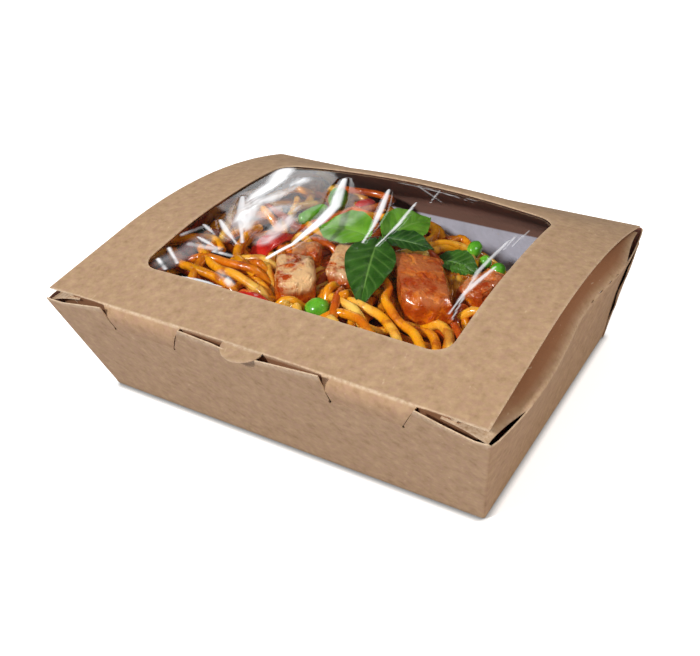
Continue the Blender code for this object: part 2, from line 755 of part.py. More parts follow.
def build_chicken(rng, material, collection):
    """Chunks: a box cage with uneven corners, softened by subdivision."""
    for name, centre, size, heading in CHICKEN_CHUNKS:
        bpy.ops.mesh.primitive_cube_add(size=1)
        chunk = place_primitive(bpy.context.object, name, material, collection)
        for vert in chunk.data.vertices:
            vert.co *= 1 + rng.uniform(*CHICKEN_CORNERS)
            vert.co.x += rng.uniform(-CHICKEN_SKEW, CHICKEN_SKEW)
        bm = bmesh.new()
        bm.from_mesh(chunk.data)
        creases = bm.edges.layers.float.new("crease_edge")
        for edge in bm.edges:
            edge[creases] = rng.uniform(*CHICKEN_CREASE)
        bm.to_mesh(chunk.data)
        bm.free()
        tilt = (rng.uniform(-CHICKEN_TILT, CHICKEN_TILT), rng.uniform(-CHICKEN_TILT, CHICKEN_TILT))
        turn_and_place(chunk, centre, [side * MM for side in size], heading, tilt)
        softness = chunk.modifiers.new("softness", "SUBSURF")
        softness.levels = 2
        softness.render_levels = 2
        chunk.data.shade_smooth()


def build_peas(rng, material, collection):
    for name, centre, radius in PEAS:
        bpy.ops.mesh.primitive_uv_sphere_add(segments=10, ring_count=7, radius=1)
        pea = place_primitive(bpy.context.object, name, material, collection)
        size = [radius * MM * rng.uniform(*PEA_SQUASH) for _ in range(3)]
        turn_and_place(pea, centre, size, rng.uniform(0, 180), (rng.uniform(0, 60), 0))
        pea.data.shade_smooth()


def build_beans(material, collection):
    """Short lengths of green bean with rounded ends."""
    for name, start, end, radius in BEANS:
        bpy.ops.mesh.primitive_uv_sphere_add(segments=10, ring_count=8, radius=radius * MM)
        bean = place_primitive(bpy.context.object, name, material, collection)
        start, end = Vector(start) * MM, Vector(end) * MM
        half = (end - start).length / 2 - radius * MM
        for vert in bean.data.vertices:
            vert.co.z += math.copysign(half, vert.co.z) if abs(vert.co.z) > GAP else 0
        bean.location = (start + end) / 2
        bean.rotation_euler = (end - start).to_track_quat("Z", "Y").to_euler()
        bean.data.shade_smooth()


def build_pepper(material, collection):
    """Strips bent over their length: a sheet with thickness."""
    for name, centre, length, width, heading, bend in PEPPER_STRIPS:
        bm = bmesh.new()
        rows = []
        for step in range(PEPPER_STEPS + 1):
            along = step / PEPPER_STEPS - 0.5
            half = width * 0.5 * (1 - PEPPER_POINT * along**2)
            arch = -bend * length * along**2
            row = [
                (along * length, across * half, arch - PEPPER_CUP * across**2) for across in (-1, 0, 1)
            ]
            rows.append([bm.verts.new(Vector(point) * MM) for point in row])
        for first, second in zip(rows, rows[1:]):
            join_rows(bm, first, second)
        face_outwards(bm, next(iter(bm.faces)), (0, 0, 1))
        strip = new_object(name, bm, material, collection)
        strip.location = [value * MM for value in centre]
        strip.rotation_euler = (0, 0, math.radians(heading))
        thicken(strip, PEPPER_THICKNESS, -1)
        strip.data.shade_smooth()


def leaf_rows(stem_end, tip, width, tilt, curl):
    """The underside of a leaf from its stem end to its tip, in rows across it."""
    start, end = Vector(stem_end) * MM, Vector(tip) * MM
    along = end - start
    level = Vector((0, 0, 1)).cross(along).normalized()
    if level.y < 0:
        level.negate()
    tilt = math.radians(tilt)
    side = level * math.cos(tilt) - Vector((0, 0, 1)) * math.sin(tilt)
    rows = []
    for step in range(LEAF_STEPS + 1):
        share = step / LEAF_STEPS
        swell = math.sin(math.pi * share**LEAF_WIDEST) if 0 < share < 1 else 0
        half = 0.5 * width * MM * swell**LEAF_FULLNESS
        arch = curl * MM * math.sin(math.pi * share)
        row = []
        for across in (-1, -0.5, 0, 0.5, 1):
            if half == 0 and across != 0:
                continue
            cup = curl * MM * 0.5 * across**2
            wave = LEAF_WAVE * across**2 * math.sin(9 * share + 2 * across)
            lift = Vector((0, 0, arch + cup + wave))
            row.append(start + along * share + side * across * half + lift)
        rows.append(row)
    return rows


def resting_lift(points, support, lowest):
    """How far the points move so that the lowest just clears what is under them."""
    lift = lowest
    for point in points:
        hit = support.ray_cast(Vector((point.x, point.y, 0.08)), Vector((0, 0, -1)))[0]
        if hit:
            lift = max(lift, hit.z + GAP * 1.5 - point.z)
    return lift


def support_under(items):
    """One search tree of all the placed pieces, in world space."""
    points, faces = [], []
    for item in items:
        mesh = evaluated_mesh(item)
        first = len(points)
        points.extend(item.matrix_world @ vert.co for vert in mesh.vertices)
        faces.extend([first + index for index in face.vertices] for face in mesh.polygons)
        bpy.data.meshes.remove(mesh)
    return BVHTree.FromPolygons(points, faces)


def build_leaves(material, collection):
    """Thin wavy leaves: loose ones are let down on what lies under them, the sprig's held up."""
    for name, stem_end, tip, width, tilt, curl in BASIL_LEAVES:
        rows = leaf_rows(stem_end, tip, width, tilt, curl)
        bpy.context.view_layer.update()
        support = support_under([item for item in collection.objects if item.type == "MESH"])
        samples = []
        for first, second in zip(rows[1:-1], rows[2:-1]):
            for share in (0, 0.33, 0.66, 1):
                across = [near.lerp(far, share) for near, far in zip(first, second)]
                for left, right in zip(across, across[1:]):
                    samples.extend(left.lerp(right, part) for part in (0, 0.33, 0.66, 1))
        samples.extend((rows[0][0], rows[-1][0]))
        lowest = 0 if name in SPRIG_LEAVES else -1
        lift = Vector((0, 0, resting_lift(samples, support, lowest)))
        bm = bmesh.new()
        verts = [[bm.verts.new(point + lift) for point in row] for row in rows]
        for first, second in zip(verts, verts[1:]):
            if len(first) == 1:
                first = first * len(second)
            if len(second) == 1:
                second = second * len(first)
            join_rows(bm, first, second)
        bmesh.ops.triangulate(bm, faces=bm.faces)
        face_outwards(bm, next(iter(bm.faces)), (0, 0, 1))
        leaf = new_object(name, bm, material, collection)
        thicken(leaf, LEAF_THICKNESS, 1)
        leaf.data.shade_smooth()


def add_seats(toppings, material, cutters):
    """A slightly larger copy of each topping, which cuts its seat in the noodles."""
    bpy.context.view_layer.update()
    for topping in toppings:
        bm = bmesh.new()
        mesh = evaluated_mesh(topping)
        mesh.transform(topping.matrix_world)
        bm.from_mesh(mesh)
        bpy.data.meshes.remove(mesh)
        bm.normal_update()
        grown = [(vert, vert.co + vert.normal * SEAT_CLEARANCE) for vert in bm.verts]
        for vert, place in grown:
            vert.co = place
        show_as_cutter(new_object(topping.name + "_seat", bm, material, cutters))


def build_food(parts, cutters):
    rng = random.Random(SEED)
    noodle = new_material("noodle", NOODLE, 0.35)
    green = new_material("pea_green", PEA_GREEN, 0.35)
    basil = new_material("basil_green", BASIL_GREEN, 0.45)
    build_chicken(rng, new_material("chicken_glaze", CHICKEN, 0.3), parts)
    build_peas(rng, green, parts)
    build_beans(green, parts)
    build_pepper(new_material("pepper_red", PEPPER_RED, 0.3), parts)
    tube("basil_stem", [Vector(point) * MM for point in STEM], STEM_RADIUS * MM, basil, parts)

    kinds = ("chicken", "pea_", "bean", "pepper", "basil")
    toppings = [item for item in parts.objects if item.name.startswith(kinds)]
    add_seats(toppings, green, cutters)
    heap = build_heap_core(noodle, parts)
    strands = new_collection("noodles")
    add_noodles(noodle, strands)
    add_boolean(heap, "UNION", strands, "MANIFOLD")
    bake(heap)
    for strand in list(strands.objects):
        bpy.data.objects.remove(strand)
    bpy.data.collections.remove(strands)
    add_boolean(heap, "DIFFERENCE", cutters, "EXACT")
    bake(heap)
    keep_largest_piece(heap)
    heap.data.shade_smooth()
    heap.data.set_sharp_from_angle(angle=math.radians(50))
    build_leaves(basil, parts)


def build():
    empty_scene()
    parts = new_collection("food_box")
    cutters = new_collection("cutters")
    kraft = new_material("kraft_board", KRAFT, 0.85)
    build_food(parts, cutters)
    build_tray(kraft, parts)
    build_lid(kraft, parts)
    build_film(new_material("window_film", CLEAR, 0.05, alpha=0.2), parts)


build()
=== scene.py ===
import math
import random

import bmesh
import bpy
import numpy as np
from mathutils import Matrix, Vector, noise
from mathutils.bvhtree import BVHTree


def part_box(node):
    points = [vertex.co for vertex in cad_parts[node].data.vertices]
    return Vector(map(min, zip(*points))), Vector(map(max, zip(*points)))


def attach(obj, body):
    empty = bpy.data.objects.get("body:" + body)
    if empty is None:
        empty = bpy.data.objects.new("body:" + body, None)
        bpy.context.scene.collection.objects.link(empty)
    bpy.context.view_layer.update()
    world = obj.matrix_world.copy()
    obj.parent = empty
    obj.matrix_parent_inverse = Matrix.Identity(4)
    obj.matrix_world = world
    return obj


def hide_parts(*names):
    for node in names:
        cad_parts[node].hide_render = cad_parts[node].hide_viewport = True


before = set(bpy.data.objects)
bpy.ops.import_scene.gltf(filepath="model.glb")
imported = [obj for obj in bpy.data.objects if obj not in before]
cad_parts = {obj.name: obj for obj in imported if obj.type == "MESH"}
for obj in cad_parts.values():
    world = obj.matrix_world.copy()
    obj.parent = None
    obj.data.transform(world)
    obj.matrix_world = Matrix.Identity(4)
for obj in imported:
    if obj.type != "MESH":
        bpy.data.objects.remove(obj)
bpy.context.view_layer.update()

# lengths are millimetres until they become mesh points
mm = 0.001
scene = bpy.context.scene
scene.view_settings.view_transform = "Standard"
looks = bpy.data.collections.new("food_box_looks")
scene.collection.children.link(looks)


def ease(share):
    share = max(0.0, min(1.0, share))
    return share * share * (3 - 2 * share)


def mix(start, end, share):
    return start + (end - start) * share


def spread(start, end, count):
    return [mix(start, end, index / count) for index in range(count + 1)]


# ---- making and finishing pieces


def makePiece(name, points, faces, materials=(), faceSlots=None, values=None, edges=()):
    mesh = bpy.data.meshes.new(name)
    mesh.from_pydata([Vector(point) * mm for point in points], edges, faces)
    for attribute, numbers in (values or {}).items():
        mesh.attributes.new(attribute, "FLOAT", "POINT").data.foreach_set("value", numbers)
    for material in materials:
        mesh.materials.append(material)
    if faceSlots:
        mesh.polygons.foreach_set("material_index", faceSlots)
    mesh.update()
    piece = bpy.data.objects.new(name, mesh)
    looks.objects.link(piece)
    return piece


def stripFaces(rows, side=1):
    # quads between neighbouring rows of points, turned over on the left side
    faces = []
    for lower, upper in zip(rows, rows[1:]):
        for here in range(len(lower) - 1):
            face = [lower[here], lower[here + 1], upper[here + 1], upper[here]]
            faces.append(face if side > 0 else face[::-1])
    return faces


def gridFaces(rows, columns):
    # the same for a grid whose points were made row by row
    return stripFaces([range(row * columns, (row + 1) * columns) for row in range(rows)])


def bake(piece):
    # the modifiers' result becomes the piece's own mesh
    graph = bpy.context.evaluated_depsgraph_get()
    mesh = bpy.data.meshes.new_from_object(piece.evaluated_get(graph))
    old = piece.data
    piece.modifiers.clear()
    piece.data = mesh
    mesh.name = piece.name
    bpy.data.meshes.remove(old)
    return piece


def soften(piece, angle=40):
    piece.data.shade_smooth()
    piece.data.set_sharp_from_angle(angle=math.radians(angle))
    return piece


def settle(piece, body, nodes=()):
    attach(piece, body)
    if nodes:
        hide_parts(*nodes)
    return piece


# ---- materials


def addNode(tree, kind, **settings):
    node = tree.nodes.new(kind)
    for name, value in settings.items():
        setattr(node, name, value)
    return node


def feed(tree, target, value):
    # value is another node's output, or a plain number or colour
    if isinstance(value, bpy.types.NodeSocket):
        tree.links.new(value, target)
    else:
        target.default_value = value


def mathNode(tree, operation, first, second=0.0, clamp=False):
    node = addNode(tree, "ShaderNodeMath", operation=operation, use_clamp=clamp)
    feed(tree, node.inputs[0], first)
    feed(tree, node.inputs[1], second)
    return node.outputs[0]


def times(tree, first, second, clamp=False):
    return mathNode(tree, "MULTIPLY", first, second, clamp)


def mixColours(tree, share, first, second):
    node = addNode(tree, "ShaderNodeMix", data_type="RGBA")
    feed(tree, node.inputs[0], share)
    for socket, colour in ((node.inputs[6], first), (node.inputs[7], second)):
        feed(tree, socket, colour if isinstance(colour, bpy.types.NodeSocket) else (*colour, 1))
    return node.outputs[2]


def remap(tree, value, low, high, newLow=0.0, newHigh=1.0):
    node = addNode(tree, "ShaderNodeMapRange", clamp=True)
    for socket, number in zip(node.inputs, (value, low, high, newLow, newHigh)):
        feed(tree, socket, number)
    return node.outputs[0]


def noiseNode(tree, coordinates, scale, detail=2.0, roughness=0.5, distortion=0.0):
    node = addNode(tree, "ShaderNodeTexNoise")
    feed(tree, node.inputs["Vector"], coordinates)
    settings = {"Scale": scale, "Detail": detail, "Roughness": roughness, "Distortion": distortion}
    for name, value in settings.items():
        feed(tree, node.inputs[name], value)
    return node.outputs["Fac"]


def bumpNode(tree, height, distance, strength=1.0):
    node = addNode(tree, "ShaderNodeBump")
    feed(tree, node.inputs["Height"], height)
    feed(tree, node.inputs["Distance"], distance)
    feed(tree, node.inputs["Strength"], strength)
    return node.outputs["Normal"]


def attributeNode(tree, name):
    return addNode(tree, "ShaderNodeAttribute", attribute_name=name).outputs["Fac"]


def newMaterial(name, **plain):
    # plain values go straight to the shader's own sockets
    material = bpy.data.materials.new(name)
    material.use_nodes = True
    tree = material.node_tree
    shader = tree.nodes["Principled BSDF"]
    for socket, value in plain.items():
        shader.inputs[socket.replace("_", " ")].default_value = value
    coordinates = addNode(tree, "ShaderNodeTexCoord").outputs["Object"]
    return material, tree, shader, coordinates


def foodMaterial(name, coat, subsurface):
    # coat is weight and roughness; subsurface is weight, radius for each colour, and scale in metres
    material, tree, shader, place = newMaterial(name, Coat_Weight=coat[0], Coat_Roughness=coat[1])
    for socket, value in zip(("Weight", "Radius", "Scale"), subsurface):
        shader.inputs["Subsurface " + socket].default_value = value
    return material, tree, shader, place


def newGroup(name, numbers, results):
    # takes a place and some numbers with their usual values, and gives numbers
    group = bpy.data.node_groups.new(name, "ShaderNodeTree")
    group.interface.new_socket(name="Vector", in_out="INPUT", socket_type="NodeSocketVector")
    for socket, usual in numbers.items():
        made = group.interface.new_socket(name=socket, in_out="INPUT", socket_type="NodeSocketFloat")
        made.default_value = usual
    for socket in results:
        group.interface.new_socket(name=socket, in_out="OUTPUT", socket_type="NodeSocketFloat")
    return group, addNode(group, "NodeGroupInput"), addNode(group, "NodeGroupOutput")


def boardFibres():
    # cloudy patches, short fibres lying every way and stray pale and dark ones
    sizes = {"Cloud Size": 300.0, "Fibre Size": 700.0}
    group, given, result = newGroup("boardFibres", sizes, ("Cloud", "Fibre", "Pale", "Dark"))
    place = given.outputs["Vector"]
    broad = noiseNode(group, place, given.outputs["Cloud Size"], 3.0, 0.6)
    feed(group, result.inputs["Cloud"], remap(group, broad, 0.3, 0.7))
    laid = []
    for turn in ((0.3, 0.5, 0.6), (1.9, 0.2, 1.7), (0.8, 2.4, 2.7)):
        mapping = addNode(group, "ShaderNodeMapping", vector_type="TEXTURE")
        feed(group, mapping.inputs["Vector"], place)
        mapping.inputs["Rotation"].default_value = turn
        mapping.inputs["Scale"].default_value = (3.4, 1.0, 1.0)
        laid.append(noiseNode(group, mapping.outputs[0], given.outputs["Fibre Size"], 2.0, 0.55))
    together = mathNode(group, "ADD", mathNode(group, "ADD", laid[0], laid[1]), laid[2])
    feed(group, result.inputs["Fibre"], remap(group, together, 1.1, 1.9))
    feed(group, result.inputs["Pale"], remap(group, laid[1], 0.70, 0.78))
    feed(group, result.inputs["Dark"], remap(group, laid[2], 0.71, 0.80))
    return group


def sauceCoat():
    # wet sauce: where it pools, and small ripples in it
    numbers = {"Size": 250.0, "Amount": 0.5}
    group, given, result = newGroup("sauceCoat", numbers, ("Mask", "Height", "Roughness"))
    place, size = given.outputs["Vector"], given.outputs["Size"]
    pools = noiseNode(group, place, size, 3.0, 0.6, 0.6)
    edge = mathNode(group, "SUBTRACT", 0.85, times(group, given.outputs["Amount"], 0.6))
    mask = addNode(group, "ShaderNodeMapRange", interpolation_type="SMOOTHSTEP")
    for socket, number in zip(mask.inputs, (pools, mathNode(group, "SUBTRACT", edge, 0.16), edge)):
        feed(group, socket, number)
    feed(group, result.inputs["Mask"], mask.outputs[0])
    fine = noiseNode(group, place, times(group, size, 3.5), 2.0)
    height = mathNode(group, "ADD", mask.outputs[0], times(group, fine, 0.4))
    feed(group, result.inputs["Height"], height)
    feed(group, result.inputs["Roughness"], remap(group, fine, 0.3, 0.8, 0.14, 0.42))
    return group


fibres = boardFibres()
sauce = sauceCoat()


def useGroup(tree, group, **given):
    node = addNode(tree, "ShaderNodeGroup", node_tree=group)
    for name, value in given.items():
        feed(tree, node.inputs[name.replace("_", " ")], value)
    return node


kraft = {
    "outer": (0.395, 0.262, 0.151),
    "cloud": (0.262, 0.163, 0.086),
    "rosy": (0.330, 0.197, 0.130),
    # painted shade colour: the shadow brown that the 'deep' attribute paints onto the tuck panel, the lock
    # tabs and the end flaps under the lid's edge
    "deep": (0.25, 0.105, 0.045),
    "paleFibre": (0.52, 0.385, 0.26),
    "darkFibre": (0.19, 0.105, 0.055),
    # pale colour on folds and cut edges: partly rubbed board, partly a painted highlight
    "wornAndHighlight": (0.56, 0.43, 0.30),
    "inner": (0.47, 0.465, 0.53),
    "innerCloud": (0.43, 0.42, 0.48),
    # painted shade: a dark band on the tray's lining above a set height, standing in for the lid's shadow
    # on the back wall; its top colour is paler, as painted light
    "innerPaintedShade": (0.165, 0.082, 0.058),
    "innerShadeBandTop": (0.50, 0.25, 0.185),
    "shadeBandPales": (0.0395, 0.0465),  # metres; the painted shade band turns paler between these heights, as painted light
    "edge": (0.46, 0.33, 0.215),
    "shadeBandLine": 0.0358,  # metres; above this height the tray's lining is painted dark, as painted shade for the lid's shadow on the back wall
    "shadeBandBlur": 0.0003,
}


def boardMaterial(name, base, cloud, roughness, lining=False):
    material, tree, shader, place = newMaterial(name, Roughness=roughness, Specular_IOR_Level=0.25)
    grain = useGroup(tree, fibres, Vector=place, Cloud_Size=260.0, Fibre_Size=620.0)
    colour = mixColours(tree, grain.outputs["Cloud"], cloud, base)
    if not lining:
        blotch = remap(tree, noiseNode(tree, place, 560.0, 2.0, 0.5), 0.45, 0.62, 0.0, 0.75)
        colour = mixColours(tree, blotch, colour, kraft["rosy"])
    shaded = times(tree, grain.outputs["Fibre"], 0.34)
    colour = mixColours(tree, shaded, colour, [part * 1.28 for part in base])
    # painted shade: where the 'deep' attribute is set, the board is darkened towards a shadow brown
    if not lining:
        stainAndPaintedShade = times(tree, attributeNode(tree, "deep"), 0.76, clamp=True)
        colour = mixColours(tree, stainAndPaintedShade, colour, kraft["deep"])
    for stray, strength, fibre in (("Pale", 0.5, "paleFibre"), ("Dark", 0.4, "darkFibre")):
        colour = mixColours(tree, times(tree, grain.outputs[stray], strength), colour, kraft[fibre])
    # folds and cut edges are painted pale, unevenly: partly rubbed board, partly a painted highlight along
    # them
    rubbedAndHighlit = remap(tree, noiseNode(tree, place, 900.0, 3.0, 0.7), 0.32, 0.6, 0.15, 1.0)
    wornAndHighlight = times(tree, attributeNode(tree, "wornAndHighlight"), rubbedAndHighlit, clamp=True)
    colour = mixColours(tree, wornAndHighlight, colour, kraft["wornAndHighlight"])
    # painted shade: above a set height the lining turns dark, and paler again near the top as painted light
    if lining:
        parts = addNode(tree, "ShaderNodeSeparateXYZ")
        feed(tree, parts.inputs[0], place)
        height = parts.outputs["Z"]
        line, blur = kraft["shadeBandLine"], kraft["shadeBandBlur"]
        bare = remap(tree, height, line - blur, line + blur)
        bare = mathNode(tree, "SUBTRACT", bare, attributeNode(tree, "skipsShadeBand"), clamp=True)
        rise = remap(tree, height, *kraft["shadeBandPales"])
        paintedShadeBand = mixColours(tree, rise, kraft["innerPaintedShade"], kraft["innerShadeBandTop"])
        colour = mixColours(tree, bare, colour, paintedShadeBand)
    feed(tree, shader.inputs["Base Color"], colour)
    feed(tree, shader.inputs["Normal"], bumpNode(tree, grain.outputs["Fibre"], 0.00012, 0.5))
    return material


boardSkins = [
    boardMaterial("kraft_outer", kraft["outer"], kraft["cloud"], 0.82),
    boardMaterial("kraft_lining", kraft["inner"], kraft["innerCloud"], 0.55, lining=True),
    boardMaterial("kraft_cut_edge", kraft["edge"], kraft["cloud"], 0.9),
]
print("materials for the board ready")

# ---- the forms that tray, lid and film share

form = {
    "baseHalfLength": 81.8,
    "baseHalfWidth": 63.3,
    "rimHalfLength": 90.0,
    "rimFront": -82.0,
    "rimBack": 72.4,
    "rimHeight": 49.0,
    "sideRimHeight": 48.2,
    "lidHalfLength": 88.3,
    "lidFront": -80.2,
    "lidBackHeight": 49.6,
    "archTop": 61.5,
    "archMiddle": -4.0,
    "archStraight": -40.0,
    "crown": 2.6,
    "crownBack": 40.0,
    "crownAtFront": 0.5,
    "backCrown": (4.8, -10.0, 46.0),  # the arch's extra height, where it starts and where it is highest
    "backBow": 0.6,
    "boardThickness": 0.45,
}
notch = {
    "foot": 43.6,
    "top": (28.0, 62.5),
    "bottom": (32.0, 59.0),
    "endDrawnIn": 0.99,
    "slideTop": 5.2,
    "slideFoot": 2.0,
    "slideReach": 44.0,
}
frontLean = (-form["baseHalfWidth"] - form["rimFront"]) / form["rimHeight"]


def frontWallY(z):
    return -form["baseHalfWidth"] - frontLean * z


def backWallY(z):
    return mix(form["baseHalfWidth"], form["rimBack"], z / form["rimHeight"])


def endWallX(z):
    return mix(form["baseHalfLength"], form["rimHalfLength"], z / form["rimHeight"])


def lidHeight(x, y):
    # an arch that runs out straight in front, with a crown across it
    front, back, crownBack = form["lidFront"], form["rimBack"], form["crownBack"]
    middle, straightFrom = form["archMiddle"], form["archStraight"]
    drop = (form["archTop"] - form["lidBackHeight"]) / (back - middle) ** 2
    run = max(y, straightFrom) - middle
    straight = max(0, straightFrom - y)
    arch = form["archTop"] - drop * run**2 - straight * 2 * drop * (middle - straightFrom)
    across = 1 - (x / form["lidHalfLength"]) ** 2
    behind = ease((back - y) / (back - crownBack))
    forward = mix(form["crownAtFront"], 1, min(1, (y - front) / (crownBack - front)))
    extra, start, highest = form["backCrown"]
    swollen = ease((y - start) / (highest - start)) * ease((back - y) / (back - highest))
    return arch + form["crown"] * across * behind * forward + extra * across**1.5 * swollen


def backBow(x):
    # the crease at the back is drawn in a little between the corners
    return form["backBow"] * ease((form["lidHalfLength"] - abs(x)) / form["lidHalfLength"])


def notchSlide(x, share):
    # both notches sit a little to the right, more so at the top
    near = ease((form["rimHalfLength"] - abs(x)) / notch["slideReach"])
    return mix(notch["slideFoot"], notch["slideTop"], share) * near


def boardSheet(piece, thickness=form["boardThickness"]):
    # folds marked with bevel_weight_edge are rounded, then the sheet gets its thickness inwards
    fold = piece.modifiers.new("fold", "BEVEL")
    fold.width = 0.7 * mm
    fold.segments = 3
    fold.limit_method = "WEIGHT"
    solid = piece.modifiers.new("thickness", "SOLIDIFY")
    solid.thickness = thickness * mm
    solid.offset = -1
    solid.use_even_offset = True
    solid.material_offset = 1
    solid.material_offset_rim = 2
    bake(piece)
    return soften(piece, 35)


def markFolds(piece, isFold):
    bm = bmesh.new()
    bm.from_mesh(piece.data)
    weight = bm.edges.layers.float.new("bevel_weight_edge")
    for edge in bm.edges:
        if len(edge.link_faces) == 2 and isFold(*(vert.co / mm for vert in edge.verts)):
            edge[weight] = 1
    bm.to_mesh(piece.data)
    bm.free()


# ---- tray: bottom, four walls and two end flaps in one sheet

tray = {
    # the front wall's top edge, left to right: x and height
    "frontTop": (
        (-90, 49.2), (-81.4, 49.1), (-59.7, 54.2), (-22, 55.9), (-13, 55.0), (-8.6, 54.7),
        (-5.5, 53.9), (-2, 53.5), (6, 53.2), (9.5, 53.3), (13, 53.9), (19.5, 54.7),
        (26, 55.5), (32.3, 56.3), (66.1, 54.6), (74.6, 51.5), (84.3, 48.6), (90, 49.0),
    ),
    "frontKnot": 66.0,
    # how far the points reach along each side, and how many steps there are between the knots
    "frontReach": 87,
    "frontSteps": (12, 12, 2, 8),
    "endReach": (-78, 69),
    "endSteps": (8, 32, 10),
    "backReach": 86,
    "backSteps": 16,
    "frontCornerLift": 0.3,
    "cornerRadius": 1.1,
    "cornerSteps": 6,
    "bulge": ((3.45, 77.0), (2.6, 60.0)),  # front and back: how far the rim bows out, over what reach
    "bulgeEase": 0.85,
    "bulgeGrowth": 2.5,
    "wallHeights": (2.5, 8, 14, 20, 26, 32, 38, 43.6),
    "rimSteps": 4,
    "bottomFold": ((1.1, 0.0), (0.35, 0.2), (0.0, 0.9)),  # inset and height
    "flapSlits": (-57.0, 39.0),
    "flapInnerX": 73.0,
    "flapEnds": ((88.4, -80.3), (88.4, 69.0)),
    "flapSkew": (1.0, 0.9),
    "flapCurve": 0.6,
    "flapToLid": 1.2,
    "flapRows": 10,
    "flapBow": (0.25, 0.45),  # outwards and upwards
    # painted shadow on the end flaps: darkest under the lid's edge, where its shadow falls, fading towards
    # the crease and the front end
    "flapShade": 1.25,
    "flapFade": (0.24, 30.0, 0.2),  # share in from the crease, run from the front end, least strength
    # pale marks along the front wall's top edge, the end creases and the foot: partly rubbed board, partly
    # painted highlight
    "wornAndHighlight": {"frontTop": 0.8, "rim": 0.45, "foot": 0.12},
    "wornAndHighlightReach": {"frontTop": 0.3, "rim": 0.4, "foot": 1.0},
    "frontBeyond": -75.0,
}


def frontTopZ(x):
    return float(np.interp(x, *zip(*tray["frontTop"])))


def endBulge(y):
    bulge = 0
    (front, frontReach), (back, backReach) = tray["bulge"]
    fromFront, fromBack = (y - form["rimFront"]) / frontReach, (form["rimBack"] - y) / backReach
    if 0 < fromFront < 1:
        bulge += front * math.sin(math.pi * fromFront ** tray["bulgeEase"])
    if 0 < fromBack < 1:
        bulge += back * math.sin(math.pi * fromBack)
    return bulge


def trayStations():
    # round the tray, anticlockwise from the front's middle
    knots = (0, *notch["top"], tray["frontKnot"], tray["frontReach"])
    front = [0]
    for start, end, steps in zip(knots, knots[1:], tray["frontSteps"]):
        front += spread(start, end, steps)[1:]
    corner = spread(0, 1, tray["cornerSteps"])
    knots = (tray["endReach"][0], *tray["flapSlits"], tray["endReach"][1])
    ends = [knots[0]]
    for start, end, steps in zip(knots, knots[1:], tray["endSteps"]):
        ends += spread(start, end, steps)[1:]
    right = [("front", x) for x in front]
    right += [("corner", 1, -1, turn) for turn in corner]
    right += [("end", 1, y) for y in ends]
    right += [("corner", 1, 1, turn) for turn in corner]
    right += [("back", x) for x in spread(tray["backReach"], 0, tray["backSteps"])[:-1]]
    left = [("back", -x) for x in spread(0, tray["backReach"], tray["backSteps"])]
    left += [("corner", -1, 1, 1 - turn) for turn in corner]
    left += [("end", -1, y) for y in reversed(ends)]
    left += [("corner", -1, -1, 1 - turn) for turn in corner]
    left += [("front", -x) for x in reversed(front[1:])]
    return right + left


def stationTop(station):
    if station[0] == "front":
        return frontTopZ(station[1] + notchSlide(station[1], 1))
    if station[0] == "corner":
        towardsEnd = station[3] if station[2] < 0 else 1 - station[3]
        rimHeight = form["rimHeight"] + tray["frontCornerLift"] * (station[2] < 0)
        return mix(rimHeight, form["sideRimHeight"], towardsEnd)
    return form["sideRimHeight"] if station[0] == "end" else form["rimHeight"]


def inNotch(station):
    low, high = notch["top"]
    return station[0] == "front" and low - 0.01 < abs(station[1]) < high + 0.01


def stationPlace(station, z, aboveFoot):
    halfLength, front, back = endWallX(z), frontWallY(z), backWallY(z)
    radius = tray["cornerRadius"]
    if station[0] == "front":
        top = station[1]
        side = math.copysign(1, top)
        end = (form["rimHalfLength"], form["rimHalfLength"] * notch["endDrawnIn"])
        knots = ((0, 0), *zip(notch["top"], notch["bottom"]), end)
        for (topA, footA), (topB, footB) in zip(knots, knots[1:]):
            if topA <= abs(top) <= topB:
                foot = side * mix(footA, footB, (abs(top) - topA) / (topB - topA))
        if aboveFoot <= 0:
            return foot * halfLength / endWallX(notch["foot"]) + notchSlide(top, 0), front
        return mix(foot, top, aboveFoot) + notchSlide(top, aboveFoot), front
    if station[0] == "end":
        _, side, yTop = station
        share = (yTop - form["rimFront"]) / (form["rimBack"] - form["rimFront"])
        bulge = endBulge(yTop) * (z / form["rimHeight"]) ** tray["bulgeGrowth"]
        return side * (halfLength + bulge), mix(front, back, share)
    if station[0] == "corner":
        _, sideX, sideY, turn = station
        angle = math.radians(-90 + 90 * turn) if sideY < 0 else math.radians(90 * turn)
        centreY = front + radius if sideY < 0 else back - radius
        x = halfLength - radius + radius * math.cos(angle)
        return sideX * x, centreY + radius * math.sin(angle)
    bow = backBow(station[1]) * (z / form["rimHeight"]) ** 3
    return station[1] * halfLength / form["rimHalfLength"], back - bow


